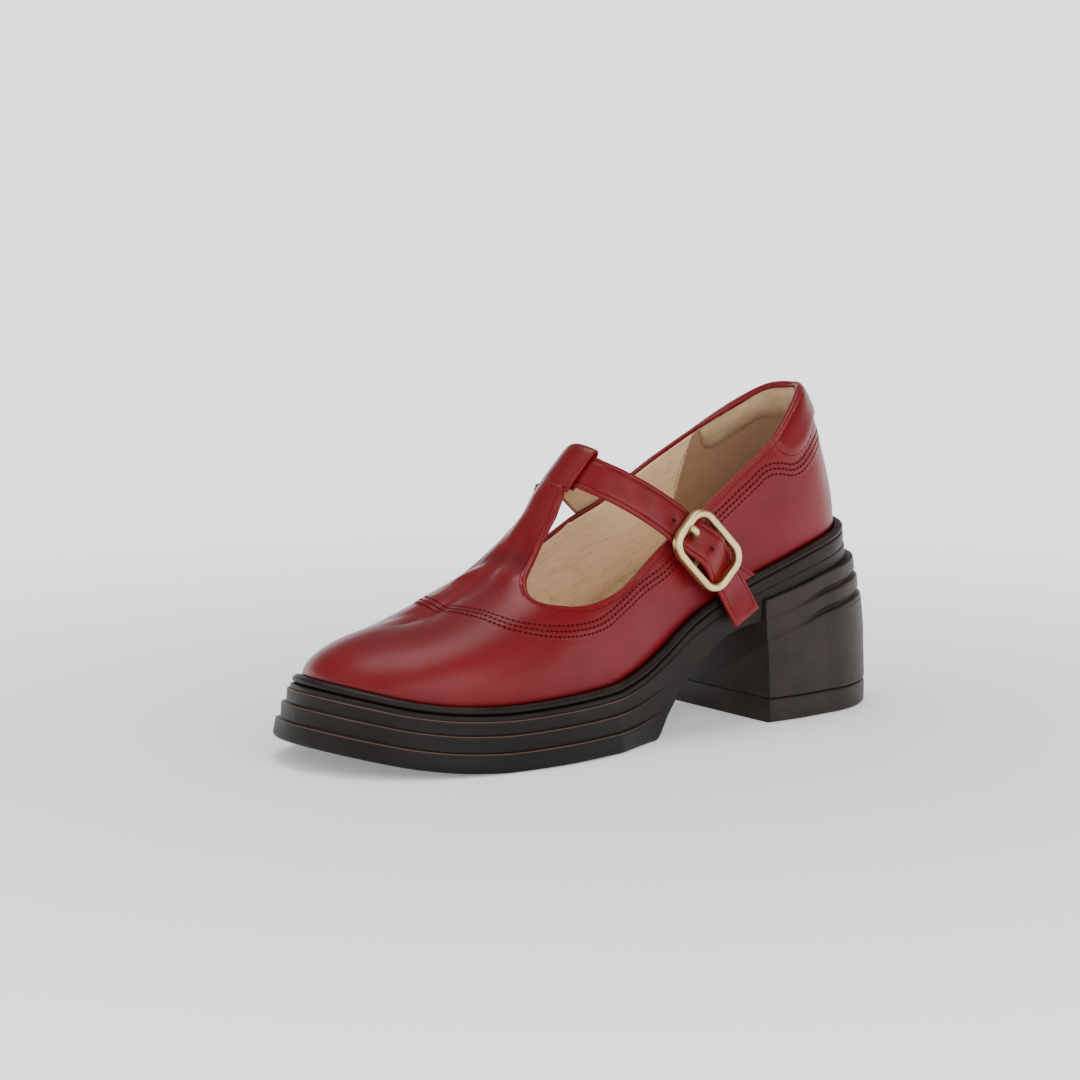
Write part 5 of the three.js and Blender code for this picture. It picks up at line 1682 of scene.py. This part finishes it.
@dataclass
class Sole:
    """Platform outsole with stepped sides and an arched shank."""

    last: Last
    finishes: Finishes
    height: float = 22.6
    flat_from: float = -40.0
    columns: int = 520
    ease: float = 0.2
    breast: float = 63.3
    # the last column lightens the ledge edges: partly from rubbing, partly painted highlight
    rows: Table = field(default_factory=lambda: Table("drop front arch seat back wear", [
        (2.85, 3.50, 3.2, 2.9, 3.5, 0), (2.95, 4.05, 3.6, 3.3, 3.9, 0.3), (3.25, 4.35, 3.8, 3.5, 4.1, 0.4),
        (4.25, 4.45, 3.86, 3.5, 4.16, 0), (4.40, 4.50, 3.9, 3.5, 4.2, 0), (4.46, 5.15, 4.2, 3.8, 4.6, 0.3),
        (4.72, 5.50, 4.36, 3.96, 4.76, 1.0), (5.10, 5.62, 4.4, 4, 4.8, 0.2), (6.2, 5.66, 4.4, 4.1, 4.9, 0),
        (8.70, 5.86, 4.55, 4.55, 5.5, 0),
        (9.12, 6.00, 4.6, 4.6, 5.7, 0), (9.30, 6.50, 4.6, 4.6, 5.9, 0.1), (9.42, 7.20, 4.6, 4.6, 6.05, 0.3),
        (9.62, 7.62, 4.6, 4.6, 6.15, 1.0), (10.0, 7.78, 4.58, 4.6, 6.2, 0.2), (11.2, 7.84, 4.5, 4.6, 6.3, 0),
        (14.75, 8.08, 4.25, 4.6, 6.6, 0), (15.1, 8.20, 4.2, 4.6, 6.6, 0), (15.26, 8.70, 4.2, 4.6, 6.6, 0.1),
        (15.36, 9.35, 4.2, 4.6, 6.6, 0.3), (15.56, 9.80, 4.2, 4.6, 6.6, 1.0),
        (15.95, 9.98, 4.15, 4.6, 6.6, 0.2),
        (17.2, 10.16, 4.0, 4.6, 6.6, 0), (19.6, 10.72, 3.7, 4.6, 6.6, 0), (20.8, 10.88, 3.6, 4.6, 6.6, 0),
        (21.7, 10.70, 3.4, 4.6, 6.6, 0.1), (22.3, 10.20, 3.25, 4.6, 6.6, 0.2),
        (22.6, 9.30, 3.1, 4.6, 6.6, 0)]))
    ledge: Sequence[Pair] = ((0.0, 0.3), (0.0, 2.7), (2.9, 2.75))
    bead: Sequence[Pair] = (
        (0.25, 2.4), (1.8, 2.5), (3.0, 2.45), (3.5, 2.15), (3.75, 1.6), (3.7, 1.0), (3.3, 0.45), (2.6, 0.02),
        (1.8, -0.2), (0.9, -0.12), (0.35, 0.5))
    # lighter lower outside of the bead: partly from rubbing, partly painted highlight
    bead_wear_and_sheen: Sequence[float] = (0, 0, 0, 0, 0.1, 0.25, 0.4, 0.45, 0.3, 0, 0)

    def stations(self, columns: int) -> np.ndarray:
        """Places round the foot, closer together at the heel and the toe."""
        t = np.linspace(-1, 1, columns + 1)
        return np.sign(t) * (np.abs(t) - self.ease * np.sin(2 * np.pi * np.abs(t)) / (2 * np.pi))

    def tread(self, y: np.ndarray) -> np.ndarray:
        """Height of the tread: flat, then rising at the toe."""
        return np.where(y < self.flat_from, np.maximum(FEATHER_Z.at("z", y) - self.height, 0), 0)

    def under(self, y: np.ndarray) -> np.ndarray:
        """Height of the underside along the foot, over the arch and the heel seat."""
        arch = np.where(y < ARCH.rows[0, 0], -99, ARCH.at("z", y))
        return np.where(y < self.breast, arch, SEAT.at("z", y))

    def blended(self, row: int, y: np.ndarray) -> np.ndarray:
        """How far a row of the side stands out along the foot."""
        return sum(self.rows.column(part)[row] * BAND_FADE.at(part, y) for part in PLACES)

    def spot(self, station: np.ndarray, out: Any, z: np.ndarray) -> np.ndarray:
        """Points beside the feather line."""
        foot = self.last.outline(station)
        place = foot + self.last.outward(station)[:, :2] * np.asarray(out)[..., None]
        return np.column_stack([place, z])

    def profile(self) -> tuple[np.ndarray, np.ndarray]:
        """The outsole's side from its hidden top to its underside, for every station, with the lighter ledge
        edges that are partly from rubbing and partly painted highlight.
        """
        station = self.stations(self.columns)
        y = self.last.outline(station)[:, 1]
        feather = FEATHER_Z.at("z", y)
        under = self.under(y)
        rings = [self.spot(station, out, feather - drop) for out, drop in self.ledge]
        wear_and_sheen_rows = [0.0] * len(rings)
        tread = self.tread(y)
        top = self.rows.rows[0, 0]
        for row, values in enumerate(self.rows.rows):
            share = (self.height - values[0]) / (self.height - top)
            z = np.maximum(tread + (feather - top - tread) * share, under)
            rings.append(self.spot(station, self.blended(row, y), z))
            wear_and_sheen_rows.append(values[-1])
        places = np.stack(rings, axis=1)
        middle = (places + places[::-1]) / 2
        for end in (0, -1):
            flat = places[:, end].copy()
            for share in ((0.5, 1.0) if end == 0 else (0.25, 0.5, 0.75, 1.0)):
                ring = flat + (middle[:, end] - flat) * share
                ring[:, 2] = self.inner_height(ring[:, 1], end)
                places = np.insert(places, 0 if end == 0 else places.shape[1], ring, axis=1)
                middle = np.insert(middle, 0 if end == 0 else middle.shape[1], middle[:, end], axis=1)
                wear_and_sheen_rows.insert(0 if end == 0 else len(wear_and_sheen_rows), 0.0)
        wear = np.repeat(np.array(wear_and_sheen_rows)[None], len(station), axis=0)
        wear[:, 3:] *= (0.35 + 0.65 * BAND_FADE.at("front", y) + 0.5 * BAND_FADE.at("back", y))[:, None]
        return places, wear

    def inner_height(self, y: np.ndarray, end: int) -> np.ndarray:
        """Height of the top or the underside across the foot."""
        if end == 0:
            return FEATHER_Z.at("z", y) - self.ledge[0][1]
        return np.maximum(self.tread(y), np.where(self.under(y) > 0, self.under(y), 0))

    def build(self) -> None:
        """Makes the outsole and the bead along the upper."""
        places, wear = self.profile()
        bm = Sheet.laid(places, wear=wear)
        bmesh.ops.recalc_face_normals(bm, faces=bm.faces)
        Piece("outsole_platform", "sole_rubber", [self.finishes[Finish.RUBBER]], ["outsole"], 32).finish(bm)
        station = self.stations(420)[:-1]
        y = self.last.outline(station)[:, 1]
        rings = [self.spot(station, out, FEATHER_Z.at("z", y) - drop) for out, drop in self.bead]
        places = np.stack(rings, axis=1)
        wear = np.repeat(np.array([self.bead_wear_and_sheen]), len(station), axis=0)
        bead = Sheet.swept(places, closed=True, wear=wear)
        Piece("welt_bead", "sole_rubber", [self.finishes[Finish.RUBBER]], ["welt"], 50).finish(bead)


@dataclass
class Heel:
    """Block heel with rolled layers round its back, and its top lift."""

    sole: Sole
    groove_from: float = 76.0
    groove_full: float = 98.0
    breast_round: float = 0.35
    # the sixth column lightens the layer edges: partly from rubbing, partly painted highlight
    block: Table = field(default_factory=lambda: Table("row seat z side back wear groove", [
        (0, 0, 9.45, 8.6, 13.4, 0, 0), (1, 0, 9.75, 9.05, 13.85, 0.3, 0), (2, 0.02, 10.0, 9.2, 14, 0.2, 0),
        (3, 0.08, 9.2, 9.0, 13.9, 0, 0), (4, 0.5, 2.0, 8.2, 13.4, 0, 0), (5, 0.9, -11.0, 7.72, 12.3, 0, 0),
        (6, 1, -16.6, 7.6, 12.1, 0, 0), (7, 1, -15.9, 7.58, 12.05, 0.3, 0),
        (8, 1, -15.4, 7.5, 11.8, 0.9, 0.1), (9, 1, -15.05, 7.3, 11.1, 0.2, 0.6),
        (10, 1, -14.75, 7.15, 10.4, 0, 1.3), (11, 1, -14.2, 7.05, 10.3, 0, 1.5),
        (12, 1, -13.6, 7.02, 10.6, 0, 0.7), (13, 1, -12.6, 7.05, 10.8, 0, 0), (14, 1, -9.6, 7.03, 10.5, 0, 0),
        (15, 1, -8.5, 7.0, 10.35, 0.3, 0), (16, 1, -8.0, 6.95, 10.1, 0.9, 0.1),
        (17, 1, -7.6, 6.8, 9.5, 0.2, 0.6),
        (18, 1, -7.3, 6.65, 8.8, 0, 1.3), (19, 1, -6.8, 6.55, 8.7, 0, 1.5), (20, 1, -6.2, 6.58, 9.0, 0, 0.7),
        (21, 1, -5.2, 6.55, 9.0, 0, 0), (22, 1, -2.0, 6.45, 8.6, 0, 0), (23, 1, -0.6, 6.38, 8.2, 0.4, 0),
        (24, 1, -0.35, 6.1, 7.6, 0.1, 0)]))
    lift: Table = field(default_factory=lambda: Table("row seat z side back wear groove", [
        (0, 0, 0, 7.9, 12.7, 0, 0), (1, 0, 0.25, 8.6, 13.4, 0, 0), (2, 0, 0.8, 9.05, 13.85, 0.1, 0),
        (3, 0, 1.6, 9.2, 14, 0, 0), (4, 0, 7.9, 9.2, 14, 0, 0), (5, 0, 8.5, 9.1, 13.9, 0.2, 0),
        (6, 0, 8.95, 8.85, 13.65, 0.3, 0), (7, 0, 9.15, 8.4, 13.2, 0, 0)]))

    def stack(self, table: Table) -> bmesh.types.BMesh:
        """A closed stack of rings behind the breast.

        Args:
            table: the rings from the lowest up.

        Returns:
            The mesh, its breast edges slightly rounded.
        """
        sole = self.sole
        station = sole.stations(520)
        station = station[sole.last.outline(station)[:, 1] > sole.breast - 12]
        y = sole.last.outline(station)[:, 1]
        back = HEEL_BACK.at("back", y)
        rings, wear_and_sheen_rows = [], []
        for row in table.rows:
            _, seat, z, side, behind, wear, groove = row
            cut = groove * smooth((y - self.groove_from) / (self.groove_full - self.groove_from))
            rings.append(sole.spot(station, side + (behind - side) * back - cut, seat * SEAT.at("z", y) + z))
            wear_and_sheen_rows.append(wear * (0.25 + 0.75 * back))
        places, wear = np.stack(rings, axis=1), np.stack(wear_and_sheen_rows, axis=1)
        for end in (0, -1):
            middle = (places[:, end] + places[::-1, end]) / 2
            where = 0 if end == 0 else places.shape[1]
            places = np.insert(places, where, middle, axis=1)
            wear = np.insert(wear, where, 0, axis=1)
        bm = Sheet.laid(places, wear=wear)
        bmesh.ops.recalc_face_normals(bm, faces=bm.faces)
        geometry = [*bm.verts, *bm.edges, *bm.faces]
        made = bmesh.ops.bisect_plane(bm, geom=geometry, plane_co=(0, sole.breast, 0), plane_no=(0, 1, 0),
                                      clear_inner=True)
        cut = [e for e in made["geom_cut"] if isinstance(e, bmesh.types.BMEdge)]
        filled = bmesh.ops.holes_fill(bm, edges=cut, sides=0)
        bmesh.ops.recalc_face_normals(bm, faces=bm.faces)
        rim = [e for e in bm.edges
               if any(f in filled["faces"] for f in e.link_faces) and e.calc_face_angle(0) > 0.9]
        bmesh.ops.bevel(bm, geom=rim, offset=self.breast_round, segments=2, profile=0.5, affect="EDGES",
                        material=-1, clamp_overlap=True)
        return bm

    def build(self) -> None:
        """Makes the block and the top lift."""
        rubber = [self.sole.finishes[Finish.HEEL_RUBBER]]
        Piece("heel_stack", "sole_rubber", rubber, ["heel_block"], 32).finish(self.stack(self.block))
        Piece("heel_lift", "sole_rubber", rubber, ["heel_top_lift"], 32).finish(self.stack(self.lift))


# ---- inside


@dataclass
class Inside:
    """Cupped insole and the soft pad behind the heel."""

    upper: Upper
    sole: Sole
    finishes: Finishes
    insole: Sequence[Pair] = (
        (-2.9, 0.4), (-2.75, 2.4), (-2.7, 4.2), (-2.95, 4.75), (-3.5, 4.7), (-4.4, 3.9), (-6, 3.0),
        (-9, 2.55))
    pad_reach: float = 0.2
    pad_top: float = 0.9
    pad_depth: float = 11.8
    pad_thick: float = 3.5
    pad_edge: float = 0.5
    pad_end: float = 0.032
    pad_back: float = 2.05
    pad_front: float = 2.02
    seam_depth: float = 3.0
    pad_columns: int = 150
    pad_rows: int = 26

    def build(self) -> None:
        """Makes both pieces and the pad's seam."""
        self.build_insole()
        self.build_pad()

    def build_insole(self) -> None:
        """The insole with its edge turned up along the lining."""
        station = self.sole.stations(360)
        y = self.sole.last.outline(station)[:, 1]
        rings = [self.sole.spot(station, out, FEATHER_Z.at("z", y) + rise) for out, rise in self.insole]
        places = np.stack(rings, axis=1)
        top, low = places[:, -1].copy(), places[:, 0].copy()
        for share in (0.35, 0.7, 1.0):
            ring = top + ((top + top[::-1]) / 2 - top) * share
            ring[:, 2] = FEATHER_Z.at("z", ring[:, 1]) + 2.55
            places = np.insert(places, places.shape[1], ring, axis=1)
        places = np.insert(places, 0, (low + low[::-1]) / 2, axis=1)
        bm = Sheet.laid(places)
        bmesh.ops.recalc_face_normals(bm, faces=bm.faces)
        Piece("insole_sock", "lining_leather", [self.finishes[Finish.INSOLE]], ["insole"], 60).finish(bm)

    def rise_below(self, station: np.ndarray, depth: np.ndarray) -> np.ndarray:
        """Height on the last at a distance below the top edge."""
        low, high = np.zeros(len(station)), np.ones(len(station))
        for _ in range(26):
            middle = (low + high) / 2
            below = self.upper.below_topline(self.upper.last.surface(station, middle))
            low, high = np.where(below > depth, middle, low), np.where(below > depth, high, middle)
        return (low + high) / 2

    def build_pad(self) -> None:
        """The crowned suede pad, puckered a little along its lower seam."""
        last = self.upper.last
        columns, rows = self.pad_columns, self.pad_rows
        station = np.linspace(-self.pad_reach, self.pad_reach, columns + 1)
        end = np.clip((self.pad_reach - np.abs(station)) / self.pad_end, 0, 1)
        end = np.sqrt(1 - (1 - end) ** 2)
        deep = self.pad_depth * (0.2 + 0.8 * end)
        front, back = [], []
        for k in range(rows + 1):
            down = k / rows
            rise = self.rise_below(station, self.pad_top + down * deep)
            place, normal = last.surface(station, rise), last.normal(station, rise)
            crown = (1 - abs(2 * down - 1) ** 2.4) * (0.25 + 0.75 * end)
            pucker = 0.12 * np.sin(station * 420) * smooth((down - 0.6) / 0.3) * crown
            inward = self.pad_front + self.pad_edge + (self.pad_thick - 0.9) * crown + pucker
            front.append(place - normal * inward[:, None])
            back.append(place - normal * self.pad_back)
        places = np.concatenate([np.stack(front, axis=1), np.stack(back, axis=1)[:, ::-1]], axis=1)
        bm = Sheet.swept(places)
        suede = [self.finishes[Finish.SUEDE]]
        pad = Piece("collar_cushion", "pad_suede", suede, ["collar_pad"], 70).finish(bm)
        rise = self.rise_below(station[4:-4], self.pad_top + 0.93 * deep[4:-4])
        place, normal = last.surface(station[4:-4], rise), last.normal(station[4:-4], rise)
        sewing = Sewing(pitch=1.8, length=1.0, width=0.36, hole=0.26)
        sewing.sew(Line(place - normal * self.seam_depth, -normal), 0.02)
        sewing.finish("collar_cushion", "pad_suede", self.finishes, Finish.TAN_THREAD, Finish.TAN_HOLE_SHADE)


# ---- studio


@dataclass
class Studio:
    """Pale glowing floor with a painted shadow round the shoe, soft lights and the camera."""

    camera: Triple = (1.02298, -0.77913, 0.26171)
    target: Triple = (-0.01085, -0.01416, 0.0718)
    lens: float = 115.27
    floor_size: float = 14.0
    floor_flat: float = 3.5
    floor_rise: float = 0.035
    floor_top: float = 3.0
    # painted shadow round the shoe: the floor's emitted light is this weak near the middle and rises to full
    # between these distances in metres
    painted_shadow_from: float = 0.10
    painted_shadow_to: float = 0.55
    painted_shadow_glow: float = 0.25
    world_tone: Triple = (0.80, 0.80, 0.80)
    world_strength: float = 0.36

    def build(self) -> None:
        """Sets up the picture."""
        self.build_camera()
        self.build_floor()
        self.sun("overhead", (-0.16, 0.02, 1.0), 36, 1.35)
        self.sun("front", (-0.2, -0.85, 0.85), 50, 0.4)
        self.sun("side", (1.0, -0.15, 0.55), 50, 1.75)
        world = bpy.data.worlds.new("studio")
        bpy.context.scene.world = world
        world.use_nodes = True
        sockets = world.node_tree.nodes["Background"].inputs
        sockets["Color"].default_value = (*self.world_tone, 1)
        sockets["Strength"].default_value = self.world_strength

    def build_camera(self) -> None:
        """The camera at the picture's angle."""
        data = bpy.data.cameras.new("camera")
        data.lens = self.lens
        data.sensor_width = 36.0
        camera = bpy.data.objects.new("camera", data)
        bpy.context.scene.collection.objects.link(camera)
        camera.location = self.camera
        aim = Vector(self.target) - Vector(self.camera)
        camera.rotation_euler = aim.to_track_quat("-Z", "Y").to_euler()
        bpy.context.scene.camera = camera

    def build_floor(self) -> None:
        """A wide pale floor that rises softly far from the shoe. It glows, and its emitted light is dimmed
        near the shoe into a painted shadow.
        """
        s = Shader("floor")
        haze = s.noise(6, 2)
        away = s.node("ShaderNodeVectorMath", {"operation": "LENGTH"}, {0: s.coordinates}, output="Value")
        # painted shadow: the floor's emitted light is dimmed near the shoe
        floor_glow_with_shadow = s.colour(s.band(away, self.painted_shadow_from, self.painted_shadow_to), (self.painted_shadow_glow,) * 3, (1.0, 1.0, 1.0))
        tone = s.colour(haze, (0.925, 0.925, 0.925), (0.935, 0.935, 0.935))
        paint = s.dress(Base_Color=tone, Roughness=0.9,
                        Specular_IOR_Level=0.1, Emission_Color=floor_glow_with_shadow, Emission_Strength=1.0)
        bm = bmesh.new()
        bmesh.ops.create_grid(bm, x_segments=120, y_segments=120, size=self.floor_size)
        for vert in bm.verts:
            vert.co.z = self.floor_rise * max(vert.co.xy.length - self.floor_flat, 0.0) ** 2
            vert.co.z = min(vert.co.z, self.floor_top)
        mesh = bpy.data.meshes.new("studio_floor")
        bm.to_mesh(mesh)
        bm.free()
        mesh.shade_smooth()
        mesh.materials.append(paint)
        floor = bpy.data.objects.new("studio_floor", mesh)
        bpy.context.scene.collection.objects.link(floor)

    @staticmethod
    def sun(name: str, direction: Sequence[float], spread: float, strength: float) -> None:
        """One wide, even light.

        Args:
            name: its name.
            direction: where it shines from.
            spread: its apparent width in degrees.
            strength: watts on a square metre.
        """
        data = bpy.data.lights.new(name, "SUN")
        data.angle = math.radians(spread)
        data.energy = strength
        light = bpy.data.objects.new(name, data)
        bpy.context.scene.collection.objects.link(light)
        light.rotation_euler = Vector(direction).to_track_quat("Z", "Y").to_euler()


def main() -> None:
    """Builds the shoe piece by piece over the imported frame."""
    logging.basicConfig(level=logging.INFO, format="%(name)s %(message)s")
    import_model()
    Studio().build()
    finishes = Finishes()
    last = Last()
    upper = Upper(last, finishes)
    upper.build()
    BarLoop(finishes).build()
    Strap("instep_strap", STRAP_LINE, "strap", finishes, holes=(126.8, 135.8, 144.8), sew_from=4, sew_to=2.2,
          sew_end=True, cut=INNER_CUT).build()
    Strap("buckle_band", TAB_LINE, "buckle_tab", finishes, width=14.0, thick=1.6, steps=60,
          sew_from=3, sew_to=2, cut=OUTER_CUT).build()
    Buckle(finishes).build()
    sole = Sole(last, finishes)
    sole.build()
    Heel(sole).build()
    Inside(upper, sole, finishes).build()


if __name__ == "__main__":
    main()
